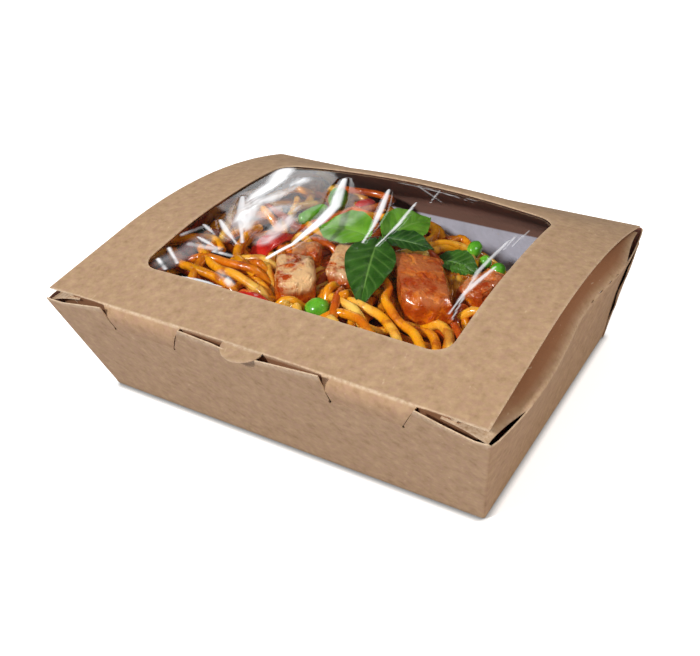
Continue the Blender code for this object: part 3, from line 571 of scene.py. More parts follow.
def makeTray():
    stations = trayStations()
    count = len(stations)
    points, rows, deep = [], [], {}

    def addRow(places):
        rows.append(range(len(points), len(points) + count))
        points.extend(places)

    for inset, z in tray["bottomFold"]:
        places = [stationPlace(station, z, 0) for station in stations]
        shrink = (1 - inset / form["baseHalfLength"], 1 - inset / form["baseHalfWidth"])
        addRow([(x * shrink[0], y * shrink[1], z) for x, y in places])
    for z in tray["wallHeights"]:
        addRow([(*stationPlace(station, z, 0), z) for station in stations])
    for step in range(1, tray["rimSteps"] + 1):
        share = step / tray["rimSteps"]
        row = []
        for station in stations:
            z = mix(notch["foot"], stationTop(station), share)
            row.append((*stationPlace(station, z, share), z))
        addRow(row)
    faces = [list(reversed(rows[0]))]
    notchRow = len(rows) - 1 - tray["rimSteps"]
    for index, (lower, upper) in enumerate(zip(rows, rows[1:])):
        for here in range(count):
            after = (here + 1) % count
            if index >= notchRow and inNotch(stations[here]) and inNotch(stations[after]):
                continue
            faces.append([lower[here], lower[after], upper[after], upper[here]])

    slitFront, slitBack = tray["flapSlits"]
    (frontX, frontY), (backX, backY) = tray["flapEnds"]
    middle = (frontY + backY) / 2
    outwards, upwards = tray["flapBow"]
    fadeShare, fadeRun, least = tray["flapFade"]
    for side in (1, -1):
        places = [place for place, station in enumerate(stations) if station[:2] == ("end", side)]
        rim = sorted((stations[place][2], rows[-1][place]) for place in places)
        line = [(frontY, None), *[item for item in rim if frontY < item[0] < backY], (backY, None)]
        flapRows = [[] for _ in range(tray["flapRows"] + 1)]
        for y, rimPoint in line:
            if rimPoint is not None and slitFront <= y <= slitBack:
                start = Vector(points[rimPoint])
                flapRows[0].append(rimPoint)
            else:
                endX, endY, hold = (frontX, frontY, slitFront) if y < middle else (backX, backY, slitBack)
                away = ease((y - hold) / (endY - hold)) ** tray["flapCurve"]
                startX = mix(form["rimHalfLength"] + endBulge(hold), endX, away)
                start = Vector((side * startX, y, form["sideRimHeight"]))
                flapRows[0].append(len(points))
                points.append(tuple(start))
            innerY = middle + (y - middle) * tray["flapSkew"][y > middle]
            innerZ = lidHeight(tray["flapInnerX"], innerY) - tray["flapToLid"]
            inner = Vector((side * tray["flapInnerX"], innerY, innerZ))
            for step in range(1, tray["flapRows"] + 1):
                share = step / tray["flapRows"]
                flapRows[step].append(len(points))
                bow = Vector((side * outwards, 0, upwards)) * math.sin(math.pi * share)
                # painted shade: the flap darkens in from the crease, as if in the lid's shadow
                fade = ease(share / fadeShare) * min(1, (y - frontY) / fadeRun + least)
                deep[len(points)] = tray["flapShade"] * fade
                points.append(tuple(start.lerp(inner, share) + bow))
        faces += stripFaces(flapRows, side)

    # pale marks along the front top edge, the end creases and the foot, partly rubbed board and partly
    # painted highlight
    wornAndHighlight = [0.0] * len(points)
    reach = tray["wornAndHighlightReach"]
    for place, (x, y, z) in enumerate(points):
        if y < tray["frontBeyond"] and z > frontTopZ(x) - reach["frontTop"]:
            wornAndHighlight[place] = tray["wornAndHighlight"]["frontTop"]
        elif abs(z - form["sideRimHeight"]) < reach["rim"] and abs(x) > form["lidHalfLength"]:
            wornAndHighlight[place] = tray["wornAndHighlight"]["rim"]
        elif z < reach["foot"]:
            wornAndHighlight[place] = tray["wornAndHighlight"]["foot"]
    values = {"wornAndHighlight": wornAndHighlight, "deep": [deep.get(place, 0.0) for place in range(len(points))]}
    piece = makePiece("tray_board", points, faces, boardSkins, [0] * len(faces), values)

    def isFold(first, second):
        level = all(abs(point.z - form["sideRimHeight"]) < 0.02 for point in (first, second))
        return level and all(slitFront - 0.1 <= point.y <= slitBack + 0.1 for point in (first, second))

    markFolds(piece, isFold)
    return boardSheet(piece)


# ---- cuts through the tray: the notch corners' relief holes and the dashes on the end creases

cuts = {
    "holeRadius": 0.55,
    "holeDepth": 3.0,
    "pegSides": 16,
    "dashes": (9.0, 17.0, 25.0, 31.5),
    "dashSize": (1.1, 2.4, 0.5),
    "dashInset": 0.35,
    "dashLift": 0.1,
}


def newTree(name, inputs):
    # a tree that ends in Realize Instances and Set Material; the caller feeds the first of these
    tree = bpy.data.node_groups.new(name, "GeometryNodeTree")
    tree.interface.new_socket(name="Geometry", in_out="INPUT", socket_type="NodeSocketGeometry")
    for socket, kind, value in inputs:
        tree.interface.new_socket(name=socket, in_out="INPUT", socket_type=kind).default_value = value
    tree.interface.new_socket(name="Material", in_out="INPUT", socket_type="NodeSocketMaterial")
    tree.interface.new_socket(name="Geometry", in_out="OUTPUT", socket_type="NodeSocketGeometry")
    given, result = addNode(tree, "NodeGroupInput"), addNode(tree, "NodeGroupOutput")
    realize = addNode(tree, "GeometryNodeRealizeInstances")
    paint = addNode(tree, "GeometryNodeSetMaterial")
    tree.links.new(realize.outputs[0], paint.inputs["Geometry"])
    tree.links.new(given.outputs["Material"], paint.inputs["Material"])
    tree.links.new(paint.outputs[0], result.inputs[0])
    return tree, given, realize


def instanceTree(name, makeShape, inputs):
    # puts one shape on each point of a mesh, turned and sized by the point's own attributes
    tree, given, realize = newTree(name, inputs)
    place = addNode(tree, "GeometryNodeInstanceOnPoints")
    tree.links.new(given.outputs["Geometry"], place.inputs["Points"])
    tree.links.new(makeShape(tree, given), place.inputs["Instance"])
    for attribute, socket in (("turn", "Rotation"), ("size", "Scale")):
        reader = addNode(tree, "GeometryNodeInputNamedAttribute", data_type="FLOAT_VECTOR")
        reader.inputs["Name"].default_value = attribute
        tree.links.new(reader.outputs["Attribute"], place.inputs[socket])
    tree.links.new(place.outputs[0], realize.inputs[0])
    return tree


def runTree(piece, tree, values):
    modifier = piece.modifiers.new(tree.name, "NODES")
    modifier.node_group = tree
    sockets = {item.name: item.identifier for item in tree.interface.items_tree if item.in_out == "INPUT"}
    for name, value in values.items():
        modifier[sockets[name]] = value
    return bake(piece)


def pointCloud(name, places, turns, sizes):
    piece = makePiece(name, places, [])
    for attribute, vectors in (("turn", turns), ("size", sizes)):
        made = piece.data.attributes.new(attribute, "FLOAT_VECTOR", "POINT")
        made.data.foreach_set("vector", [part for vector in vectors for part in vector])
    return piece


def cutTray(piece):
    def boxShape(tree, given):
        cube = addNode(tree, "GeometryNodeMeshCube")
        tree.links.new(given.outputs["Size"], cube.inputs["Size"])
        return cube.outputs["Mesh"]

    def pegShape(tree, given):
        peg = addNode(tree, "GeometryNodeMeshCylinder")
        peg.inputs["Vertices"].default_value = cuts["pegSides"]
        tree.links.new(given.outputs["Radius"], peg.inputs["Radius"])
        tree.links.new(given.outputs["Depth"], peg.inputs["Depth"])
        return peg.outputs["Mesh"]

    dashTree = instanceTree("dashesOnCrease", boxShape, [("Size", "NodeSocketVector", (1, 1, 1))])
    pegSizes = [("Radius", "NodeSocketFloat", 1.0), ("Depth", "NodeSocketFloat", 1.0)]
    holeTree = instanceTree("reliefHoles", pegShape, pegSizes)
    dashZ = form["sideRimHeight"] + cuts["dashLift"]
    dashPlaces = [
        (side * (form["rimHalfLength"] + endBulge(y) - cuts["dashInset"]), y, dashZ)
        for side in (-1, 1)
        for y in cuts["dashes"]
    ]
    level, whole = [(0, 0, 0)] * len(dashPlaces), [(1, 1, 1)] * len(dashPlaces)
    dashes = pointCloud("crease_dashes", dashPlaces, level, whole)
    runTree(dashes, dashTree, {"Size": [part * mm for part in cuts["dashSize"]], "Material": boardSkins[2]})
    z = notch["foot"]
    holePlaces = [
        (side * foot + notchSlide(top, 0), frontWallY(z), z)
        for side in (-1, 1)
        for top, foot in zip(notch["top"], notch["bottom"])
    ]
    lean = math.pi / 2 - math.atan(frontLean)
    holes = pointCloud("notch_holes", holePlaces, [(lean, 0, 0)] * 4, [(1, 1, 1)] * 4)
    peg = {"Radius": cuts["holeRadius"] * mm, "Depth": cuts["holeDepth"] * mm, "Material": boardSkins[2]}
    runTree(holes, holeTree, peg)
    for cutter in (dashes, holes):
        cut = piece.modifiers.new("cut", "BOOLEAN")
        cut.operation = "DIFFERENCE"
        cut.object = cutter
        cut.solver = "EXACT"
    bake(piece)
    for cutter in (dashes, holes):
        bpy.data.objects.remove(cutter)
    return soften(piece, 35)


# ---- webs: the back wall's ends, glued round the corners onto the end walls

web = {
    "seamFoot": 63.0,
    "seamHead": 47.0,
    "seamHeadZ": 43.6,
    "foot": 0.6,
    "proud": (1.3, 0.4),
    "leastProud": 0.45,
    "rise": 25.0,  # the height below which the web lies closer to the wall
    "wave": 0.3,
    "fromBack": (3.2, 2.1),  # the seam's least gap to the back wall, and where the corner's curve starts
    "round": ((30, 0.1), (60, 0.06), (90, 0.02)),  # degrees round the corner, and how proud there
    "board": 0.4,
    "rows": 18,
    "columns": 8,
}


def makeWebs():
    points, faces = [], []
    for side in (1, -1):
        grid = []
        for row in range(web["rows"] + 1):
            z = mix(web["foot"], web["seamHeadZ"], row / web["rows"])
            seamY = mix(web["seamFoot"], web["seamHead"], z / web["seamHeadZ"])
            back = backWallY(z)
            line = []
            for column in range(web["columns"] + 1):
                share = column / web["columns"]
                y = mix(min(seamY, back - web["fromBack"][0]), back - web["fromBack"][1], share)
                yTop = mix(form["rimFront"], form["rimBack"], (y - frontWallY(z)) / (back - frontWallY(z)))
                bulge = endBulge(yTop) * (z / form["rimHeight"]) ** tray["bulgeGrowth"]
                ripple = web["wave"] * math.sin(z * 0.35 + side) * (1 - share)
                lifted = mix(0.4, 1, ease(z / web["rise"])) * (mix(*web["proud"], ease(share)) + ripple)
                x = endWallX(z) + bulge + max(web["leastProud"], lifted)
                line.append(len(points))
                points.append((side * x, y, z))
            # round the corner and a little way along the back wall, sinking into it
            for degrees, proud in web["round"]:
                reach, angle = tray["cornerRadius"] + proud, math.radians(degrees)
                centre = (endWallX(z) - tray["cornerRadius"], back - tray["cornerRadius"])
                x = centre[0] + reach * math.cos(angle)
                line.append(len(points))
                points.append((side * x, centre[1] + reach * math.sin(angle), z))
            grid.append(line)
        faces += stripFaces(grid, side)
    values = {"wornAndHighlight": [0.0] * len(points)}
    piece = makePiece("corner_webs", points, faces, boardSkins, [0] * len(faces), values)
    return boardSheet(piece, web["board"])


trayBoard = cutTray(makeTray())
settle(trayBoard, "box", ["tray"])
settle(makeWebs(), "box")
print("tray folded")

# ---- lid: arched panel, tuck panel, two lock tabs and the thumb tongue

lid = {
    "cornerReach": 12.3,
    "windowHalf": 63.4,
    "windowFront": -56.9,
    "windowBack": 40.7,
    "windowRadius": 7.0,
    "rings": (0, 0.08, 0.25, 0.45, 0.65, 0.85, 0.965, 1),
    "sideSteps": 26,
    "backSteps": 24,
    "cornerSteps": 8,
    "tabSteps": 10,
    "tabRoots": ((-61.1, -25.0), (31.2, 65.3)),
    "tabRows": (0.03, 0.08, 0.14, 0.22, 0.32, 0.45, 0.65, 0.85, 1),
    "tabSettle": 4.0,  # how soon below the crease the tab meets the wall's plane
    "tabFootZ": 43.75,
    "tabGaps": (0.9, 0.12),  # at the foot, left and right of the tab
    "tabSink": 0.05,
    # painted shade on the lock tabs, a little darker than the wall
    "tabShade": 0.15,
    "between": ((-76.0, -71.0, -66.5), (-20.0, -15.0, -11.0), (14.0, 19.0, 25.0), (68.5, 72.5, 76.0)),
    "tuckFoot": (-75.0, 38.5),
    "tuckDepths": (0.12, 0.4),
    "tuckHole": 0.7,
    "tuckTaper": 0.985,
    "wing": 9.5,  # how far the tuck panel's ears reach past the lid's cut corners
    "wingLeast": 0.4,
    "wingEase": (7.0, 2.2),  # how fast the ear widens below the crease and narrows towards the foot
    "wingUnderFlap": 5.0,
    "tongueCentre": 1.2,
    "tongueHalf": 8.0,
    "tongueLength": 7.1,
    "tongueSlope": 0.12,
    "tongueColumns": 20,
    "tongueRows": 5,
    # pale marks on the lid's crease, edges, tab tops and tongue: partly rubbed board, partly painted
    # highlight
    "wornAndHighlight": {"crease": 0.9, "edge": 0.35, "tabTop": 0.6, "tongueTip": 0.3, "tongue": 0.05},
}


def creaseStations():
    leftTab, rightTab = (spread(*root, lid["tabSteps"]) for root in lid["tabRoots"])
    tongue = [
        lid["tongueCentre"] - lid["tongueHalf"] * math.cos(math.pi * step / lid["tongueColumns"])
        for step in range(lid["tongueColumns"] + 1)
    ]
    farLeft, left, right, farRight = lid["between"]
    return [*farLeft, *leftTab, *left, *tongue, *right, *rightTab, *farRight]


def panelOutline(halfLength, front, back, reach, rounded):
    scale = (halfLength - reach) / (form["lidHalfLength"] - lid["cornerReach"])
    centreX = halfLength - reach
    points = [(x * scale, front) for x in creaseStations()]

    def corner(side, centreY, start):
        for step in range(1, lid["cornerSteps"]):
            angle = math.radians(start + 90 * step / lid["cornerSteps"])
            across, along = math.cos(angle), math.sin(angle)
            size = reach if rounded else reach / max(abs(across), abs(along))
            points.append((side * centreX + size * across, centreY + size * along))

    sideLine = spread(front + reach, back - reach, lid["sideSteps"])
    corner(1, front + reach, -90)
    points += [(halfLength, y) for y in sideLine]
    corner(1, back - reach, 0)
    backLine = spread(centreX, -centreX, lid["backSteps"])
    points += [(x, back if rounded else back - backBow(x)) for x in backLine]
    corner(-1, back - reach, 90)
    points += [(-halfLength, y) for y in reversed(sideLine)]
    corner(-1, front + reach, 180)
    return points


def makeLid():
    sizes = [lid[key] for key in ("windowHalf", "windowFront", "windowBack", "windowRadius")]
    window = panelOutline(*sizes, rounded=True)
    sizes = (form["lidHalfLength"], form["lidFront"], form["rimBack"], lid["cornerReach"])
    edge = panelOutline(*sizes, rounded=False)
    points, faces, wornAndHighlight, deep, rings = [], [], [], [], []

    # each point carries its share of the pale fold mark, partly rubbed board and partly painted highlight,
    # and its share of painted shade
    def addPoint(point, rubbedAndHighlit=0.0, paintedShade=0.0):
        points.append(tuple(point))
        wornAndHighlight.append(rubbedAndHighlit)
        deep.append(paintedShade)
        return len(points) - 1

    def joinRows(lower, upper):
        for here in range(len(lower) - 1):
            face = [lower[here], lower[here + 1], upper[here + 1], upper[here]]
            distinct = [corner for place, corner in enumerate(face) if corner not in face[:place]]
            if len(distinct) > 2:
                faces.append(distinct)

    for share in lid["rings"]:
        ring = []
        for inner, outer in zip(window, edge):
            x, y = mix(inner[0], outer[0], share), mix(inner[1], outer[1], share)
            onEdge = lid["wornAndHighlight"]["edge"] if share in (0, 1) else 0.0
            rubbedAndHighlit = lid["wornAndHighlight"]["crease"] if y < form["lidFront"] + 0.1 else onEdge
            ring.append(addPoint((x, y, lidHeight(x, y)), rubbedAndHighlit))
        rings.append(ring)
    for inner, outer in zip(rings, rings[1:]):
        joinRows(outer + outer[:1], inner + inner[:1])

    stations = creaseStations()
    crease = rings[-1][: len(stations)]
    topZ = lidHeight(0, form["lidFront"])

    def onTongue(middle):
        return abs(middle - lid["tongueCentre"]) < lid["tongueHalf"]

    def isCut(middle):
        return onTongue(middle) or any(low < middle < high for low, high in lid["tabRoots"])

    depths = (*lid["tuckDepths"], lid["tuckHole"], 1.0)
    widens, narrows = lid["wingEase"]
    tuckRows, wings = [crease], {-1: [], 1: []}
    for depth in depths:
        y = mix(form["lidFront"], lid["tuckFoot"][0], depth)
        z = mix(topZ, lid["tuckFoot"][1], depth)
        taper = mix(1, lid["tuckTaper"], depth)
        # the tuck panel and its ears get full painted shade, standing in for the shadow in the recess
        # behind the front wall
        tuckRows.append([addPoint((x * taper, y, z), 0.0, 1.0) for x in stations])
        for side, end in ((-1, tuckRows[-1][0]), (1, tuckRows[-1][-1])):
            out = lid["wing"] * ease(min(depth * widens, (1 - depth) * narrows))
            wingX = points[end][0] + side * max(lid["wingLeast"], out)
            wingZ = min(z, form["sideRimHeight"] + lid["wingUnderFlap"] * (1 - out / lid["wing"]))
            wings[side].append([end, addPoint((wingX, y, wingZ), 0.0, 1.0)])
    for side, rows in wings.items():
        for lower, upper in zip(rows, rows[1:]):
            joinRows(*((upper, lower) if side > 0 else (upper[::-1], lower[::-1])))
    for place in range(len(stations) - 1):
        centre = (stations[place] + stations[place + 1]) / 2
        reachesTo = depths[0] if onTongue(centre) else lid["tuckHole"] if isCut(centre) else 0
        for depth, lower, upper in zip(depths, tuckRows, tuckRows[1:]):
            if depth > reachesTo:
                joinRows(upper[place : place + 2], lower[place : place + 2])

    for (low, high), side in zip(lid["tabRoots"], (-1, 1)):
        # the tab hangs from the crease a little behind the leaning wall, and comes level with it lower down
        picked = [(x, point) for x, point in zip(stations, crease) if low - 0.1 < x < high + 0.1]
        edges = [side * foot + notchSlide(top, 0) for top, foot in zip(notch["top"], notch["bottom"])]
        footLow, footHigh = min(edges) + lid["tabGaps"][0], max(edges) - lid["tabGaps"][1]
        row = [point for _, point in picked]
        for down in lid["tabRows"]:
            after = []
            rubbedAndHighlit = lid["wornAndHighlight"]["tabTop"] if down == lid["tabRows"][0] else 0.0
            for x, point in picked:
                share = (x - low) / (high - low)
                topX, topY, crestZ = points[point]
                z = mix(crestZ, lid["tabFootZ"], down)
                behind = (topY - frontWallY(crestZ) + lid["tabSink"]) * (1 - down) ** lid["tabSettle"]
                x = mix(topX, mix(footLow, footHigh, share), down ** mix(0.5, 1, share))
                place = (x, frontWallY(z) - lid["tabSink"] + behind, z)
                after.append(addPoint(place, rubbedAndHighlit, lid["tabShade"]))
            joinRows(after, row)
            row = after

    tongueStart = lid["tongueCentre"] - lid["tongueHalf"]
    first = min(range(len(stations)), key=lambda place: abs(stations[place] - tongueStart))
    root = crease[first : first + lid["tongueColumns"] + 1]
    row = root
    for reach in spread(0, 1, lid["tongueRows"])[1:]:
        after = []
        rubbedAndHighlit = lid["wornAndHighlight"]["tongueTip" if reach == 1 else "tongue"]
        for column, point in enumerate(root):
            if column in (0, lid["tongueColumns"]):
                after.append(point)
                continue
            out = lid["tongueLength"] * reach * math.sin(math.pi * column / lid["tongueColumns"])
            x, y, z = points[point]
            after.append(addPoint((x, y - out, z - out * lid["tongueSlope"]), rubbedAndHighlit))
        joinRows(after, row)
        row = after

    # the lid's lining is kept free of the painted shade band
    values = {"wornAndHighlight": wornAndHighlight, "deep": deep, "skipsShadeBand": [1.0] * len(points)}
    piece = makePiece("lid_board", points, faces, boardSkins, [0] * len(faces), values)

    def isFold(start, end):
        ends = (start, end)
        onCrease = all(abs(point.y - form["lidFront"]) < 0.02 and point.z > topZ - 2 for point in ends)
        return onCrease and not onTongue((start.x + end.x) / 2)

    markFolds(piece, isFold)
    return boardSheet(piece)


settle(makeLid(), "lid", ["lid_panel"])
print("lid folded")

# ---- window film: taut and thin, creased where it was glued and handled

film = {
    "margin": 4.6,
    "below": 0.75,
    "columns": 300,
    "rows": 240,
    "ripple": 0.10,
    "tautOver": 5.0,  # it sags more and more over this run inside the glued margin
    # folds in the film: points, half width and height; the last number is how white the fold is, partly the
    # creased film's own whitening and partly painted glare
    "folds": (
        (((-27, 32), (-21, 17.5), (-17, 8), (-15.8, -6), (-16.2, -24), (-20, -35)), 2.6, 0.55, 1.0),
        (((-4, 29), (1.3, 13), (5, 0), (7.4, -12)), 1.3, 0.4, 0.85),
        (((11.3, 23.5), (13.2, 6), (13.2, -12)), 0.7, 0.25, 0.8),
        (((-54, -19.5), (-46, -25.6), (-36.7, -31.7)), 1.3, 0.3, 0.75),
        (((-58, 1), (-47.5, -14.4), (-35.3, -30)), 2.2, 0.4, 0.75),
        (((-58.4, -24.6), (-49.5, -29)), 0.8, 0.2, 0.6),
        (((-54.7, -33), (-42.3, -36.7)), 0.9, 0.2, 0.7),
        (((-44, -56.2), (-36, -55.6), (-26, -55.6)), 0.7, 0.3, 0.75),
        (((54.8, 14), (53.8, -11), (57.4, -40)), 0.8, 0.35, 0.5),
        (((58, -6), (55.4, -24), (55.2, -38)), 1.0, 0.3, 0.65),
        (((3.9, 39), (20.1, 28.5)), 0.35, 0.15, 0.4),
        (((14, 39), (16.4, 26)), 0.35, 0.15, 0.5),
        (((55.5, 20.5), (55.7, 6.3)), 0.35, 0.12, 0.4),
        (((58, 26), (57.5, 10)), 0.35, 0.12, 0.35),
        (((-8, 38.5), (14, 37.5), (36, 38.5)), 0.3, 0.1, 0.4),
        (((4, 39.2), (30, 36)), 0.3, 0.1, 0.35),
    ),
    # broad patches of painted glare, white where the studio light would reflect, without a fold
    "paintedGlare": (
        (((-60, 35), (-53, 18.6), (-52, 5), (-48, -8), (-43, -20)), 5.0, 0.95),
        (((-44.4, 24.3), (-46, 14), (-47, 3)), 5.0, 0.7),
        (((-33, 0), (-40, -5), (-43, -15)), 4.5, 0.42),
        (((-29, -8), (-28, -16), (-28, -26)), 4.0, 0.45),
        (((-58, 4), (-50, -16), (-42, -28)), 4.0, 0.18),
        (((-60.2, -50.4), (-53.4, -54.3)), 0.9, 0.7),
        (((-60.8, -43.2), (-51.5, -49.7)), 0.8, 0.65),
        (((-54.6, -38.1), (-41.2, -37.0)), 1.6, 0.4),
        (((-61.6, -33.8), (-57.7, -26.4)), 1.2, 0.35),
        (((-42.4, -38.8), (-33.8, -38.8)), 0.8, 0.55),
        (((-32.1, -48.7), (-23.4, -53.4)), 1.6, 0.5),
        (((-56.0, -51.3), (-52.2, -41.9), (-51.2, -31.1)), 5.0, 0.14),
        (((-6, 10), (-8, 2)), 6.0, 0.12),
    ),
}


def distanceToLine(x, y, line):
    # distance in plan from each place to the line, and how far along the line it is, 0 to 1
    best, along, walked = np.full_like(x, 1e9), np.zeros_like(x), 0.0
    spans = list(zip(line, line[1:]))
    total = sum(math.dist(*span) for span in spans)
    for (x0, y0), (x1, y1) in spans:
        length = math.dist((x0, y0), (x1, y1))
        share = np.clip(((x - x0) * (x1 - x0) + (y - y0) * (y1 - y0)) / length**2, 0, 1)
        gap = np.hypot(x - x0 - (x1 - x0) * share, y - y0 - (y1 - y0) * share)
        along = np.where(gap < best, (walked + share * length) / total, along)
        best = np.minimum(best, gap)
        walked += length
    return best, along


def smoothStep(share):
    share = np.clip(share, 0, 1)
    return share * share * (3 - 2 * share)


def drawnNoise(tree, place, turn, width, *settings):
    # noise drawn out into streaks, turned in the film's plane
    mapping = addNode(tree, "ShaderNodeMapping")
    feed(tree, mapping.inputs["Vector"], place)
    mapping.inputs["Rotation"].default_value = (0, 0, turn)
    mapping.inputs["Scale"].default_value = (1.0, width, 1.0)
    return noiseNode(tree, mapping.outputs[0], *settings)


def mixShaders(tree, share, first, second):
    node = addNode(tree, "ShaderNodeMixShader")
    feed(tree, node.inputs[0], share)
    tree.links.new(first.outputs[0], node.inputs[1])
    tree.links.new(second.outputs[0], node.inputs[2])
    return node


def filmMaterial():
    material = bpy.data.materials.new("window_film_clear")
    material.use_nodes = True
    tree = material.node_tree
    tree.nodes.clear()
    place = addNode(tree, "ShaderNodeTexCoord").outputs["Object"]
    crinkle = drawnNoise(tree, place, 0.5, 0.25, 90.0, 2.0, 0.5, 0.8)
    normal = bumpNode(tree, crinkle, 0.0006, 0.22)
    clear = addNode(tree, "ShaderNodeBsdfTransparent")
    clear.inputs[0].default_value = (0.985, 0.985, 0.99, 1)
    shine = addNode(tree, "ShaderNodeBsdfGlossy")
    shine.inputs["Roughness"].default_value = 0.1
    shine.inputs["Color"].default_value = (1, 1, 1, 1)
    feed(tree, shine.inputs["Normal"], normal)
    # a film mirrors alike from both sides: Schlick's rule on how far the ray leans
    lean = addNode(tree, "ShaderNodeLayerWeight")
    feed(tree, lean.inputs["Normal"], normal)
    slant = mathNode(tree, "POWER", lean.outputs["Facing"], 5.0)
    pane = mixShaders(tree, mathNode(tree, "ADD", times(tree, slant, 0.93), 0.07), clear, shine)
    # white patches and streaks: partly the film's own whitening at creases, partly painted glare standing
    # in for the studio light's reflection
    milkAndGlare = addNode(tree, "ShaderNodeBsdfPrincipled")
    milkAndGlare.inputs["Base Color"].default_value = (0.93, 0.94, 0.96, 1)
    milkAndGlare.inputs["Roughness"].default_value = 0.3
    torn = drawnNoise(tree, place, -0.55, 0.22, 110.0, 3.0, 0.6, 0.5)
    folded = times(tree, attributeNode(tree, "milkyAndGlare"), remap(tree, torn, 0.2, 0.6, 0.68, 1.0))
    patches = drawnNoise(tree, place, -0.35, 0.3, 85.0, 3.0, 0.55, 1.2)
    paintedGlareShare = times(tree, attributeNode(tree, "paintedGlare"), remap(tree, patches, 0.38, 0.56, 0.3, 1.2))
    whole = mixShaders(tree, mathNode(tree, "MAXIMUM", folded, paintedGlareShare, clamp=True), pane, milkAndGlare)
    output = addNode(tree, "ShaderNodeOutputMaterial")
    tree.links.new(whole.outputs[0], output.inputs["Surface"])
    return material


def makeFilm():
    half = lid["windowHalf"] + film["margin"]
    front, back = lid["windowFront"] - film["margin"], lid["windowBack"] + film["margin"]
    lines = (spread(front, back, film["rows"]), spread(-half, half, film["columns"]))
    y, x = (places.ravel() for places in np.meshgrid(*lines, indexing="ij"))
    under = np.array([lidHeight(*place) for place in zip(x, y)])
    inside = np.minimum(half - np.abs(x), np.minimum(y - front, back - y))
    taut = smoothStep((inside - film["margin"]) / film["tautOver"])
    ripple = np.array([noise.noise(Vector((a * 0.05, b * 0.12, 3))) for a, b in zip(x, y)])
    z = under - film["below"] - taut * film["ripple"] * (1 + 2 * ripple)
    milkyAndGlare, paintedGlare = np.zeros_like(x), np.zeros_like(x)
    for line, halfWidth, height, strength in film["folds"]:
        gap, along = distanceToLine(x, y, line)
        widest = halfWidth * (0.35 + 0.65 * np.sin(math.pi * np.minimum(1, along * 1.15 + 0.05)))
        z += height * taut * np.clip(1 - gap / (widest * 1.4), 0, 1) * 0.6
        z -= 0.15 * taut * np.exp(-((gap / widest - 1.7) ** 2) * 4)
        onFold = smoothStep(1.5 * (1 - gap / widest) + 0.2) * (gap < widest * 1.2)
        milkyAndGlare = np.maximum(milkyAndGlare, strength * onFold)
    # painted glare: broad white patches where the light would reflect off the film
    for line, halfWidth, strength in film["paintedGlare"]:
        gap, _ = distanceToLine(x, y, line)
        paintedGlare = np.maximum(paintedGlare, strength * smoothStep(1.25 - gap / halfWidth))
    points = np.column_stack([x, y, np.minimum(z, under - 0.5)])
    faces = gridFaces(film["rows"] + 1, film["columns"] + 1)
    values = {"milkyAndGlare": milkyAndGlare, "paintedGlare": paintedGlare}
    piece = makePiece("film_window", points, faces, [filmMaterial()], values=values)
    piece.data.shade_smooth()
    return piece


settle(makeFilm(), "lid", ["window_film"])
print("film stretched")

# ---- the heap that everything lies on

heap = {
    "floor": 0.9,
    "top": 50.5,
    "endDrop": 6.0,
    "sideDrop": 4.0,
    "reach": (75.0, 65.0),
    "front": -72.0,
    "scoopNormal": (0.476, 0.88),
    "scoopOffset": 42.0,
    "scoopSlope": 1.1,
    "scoopSoftness": 6.0,
    "least": 8.0,
    "endSwell": 4.6,  # the left end is heaped up against the wall
    "swellFrom": 42.0,
    "swellRun": 24.0,
    "coreSink": 9.5,
    "wallGap": 1.1,
    "lidGap": 2.2,
    "grid": ((-88, 88), (-78, 72)),
}


def heapHeight(x, y):
    ends = heap["endDrop"] * (x / heap["reach"][0]) ** 2
    sides = heap["sideDrop"] * (y / heap["reach"][1]) ** 2
    beyond = x * heap["scoopNormal"][0] + y * heap["scoopNormal"][1] - heap["scoopOffset"]
    drop = (beyond + np.hypot(beyond, heap["scoopSoftness"])) / 2
    ends = ends - heap["endSwell"] * np.clip((-x - heap["swellFrom"]) / heap["swellRun"], 0, 1)
    return np.maximum(heap["top"] - ends - sides - heap["scoopSlope"] * drop, heap["floor"] + heap["least"])


gridX = np.arange(heap["grid"][0][0], heap["grid"][0][1] + 1, dtype=float)
gridY = np.arange(heap["grid"][1][0], heap["grid"][1][1] + 1, dtype=float)
planX, planY = np.meshgrid(gridX, gridY, indexing="ij")
laid = heapHeight(planX, planY) - heap["coreSink"]  # how high the heap stands so far, at each millimetre
ceiling = np.array([[lidHeight(x, y) for y in gridY] for x in gridX]) - heap["lidGap"]


def toppingTree(names):
    points, faces = [], []
    for name in names:
        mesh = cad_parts[name].data
        start = len(points)
        points.extend(Vector(vert.co) / mm for vert in mesh.vertices)
        faces.extend([start + corner for corner in face.vertices] for face in mesh.polygons)
    return BVHTree.FromPolygons(points, faces)


toppingKinds = ("chicken", "pea", "bean", "pepper")
toppingNames = [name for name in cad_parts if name.split("_")[0] in toppingKinds]
toppings = toppingTree(toppingNames + [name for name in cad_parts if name.startswith("basil")])
under = np.full_like(laid, 1e3)  # the underside of what lies on the noodles
for i, x in enumerate(gridX):
    for j, y in enumerate(gridY):
        hit = toppings.ray_cast(Vector((x, y, 0)), Vector((0, 0, 1)))[0]
        if hit:
            under[i, j] = hit.z


def cellOf(x, y):
    i = np.clip(np.rint(x - gridX[0]).astype(int), 2, len(gridX) - 3)
    j = np.clip(np.rint(y - gridY[0]).astype(int), 2, len(gridY) - 3)
    return i, j


# ---- noodles: each is laid on those before it and hangs a little between them

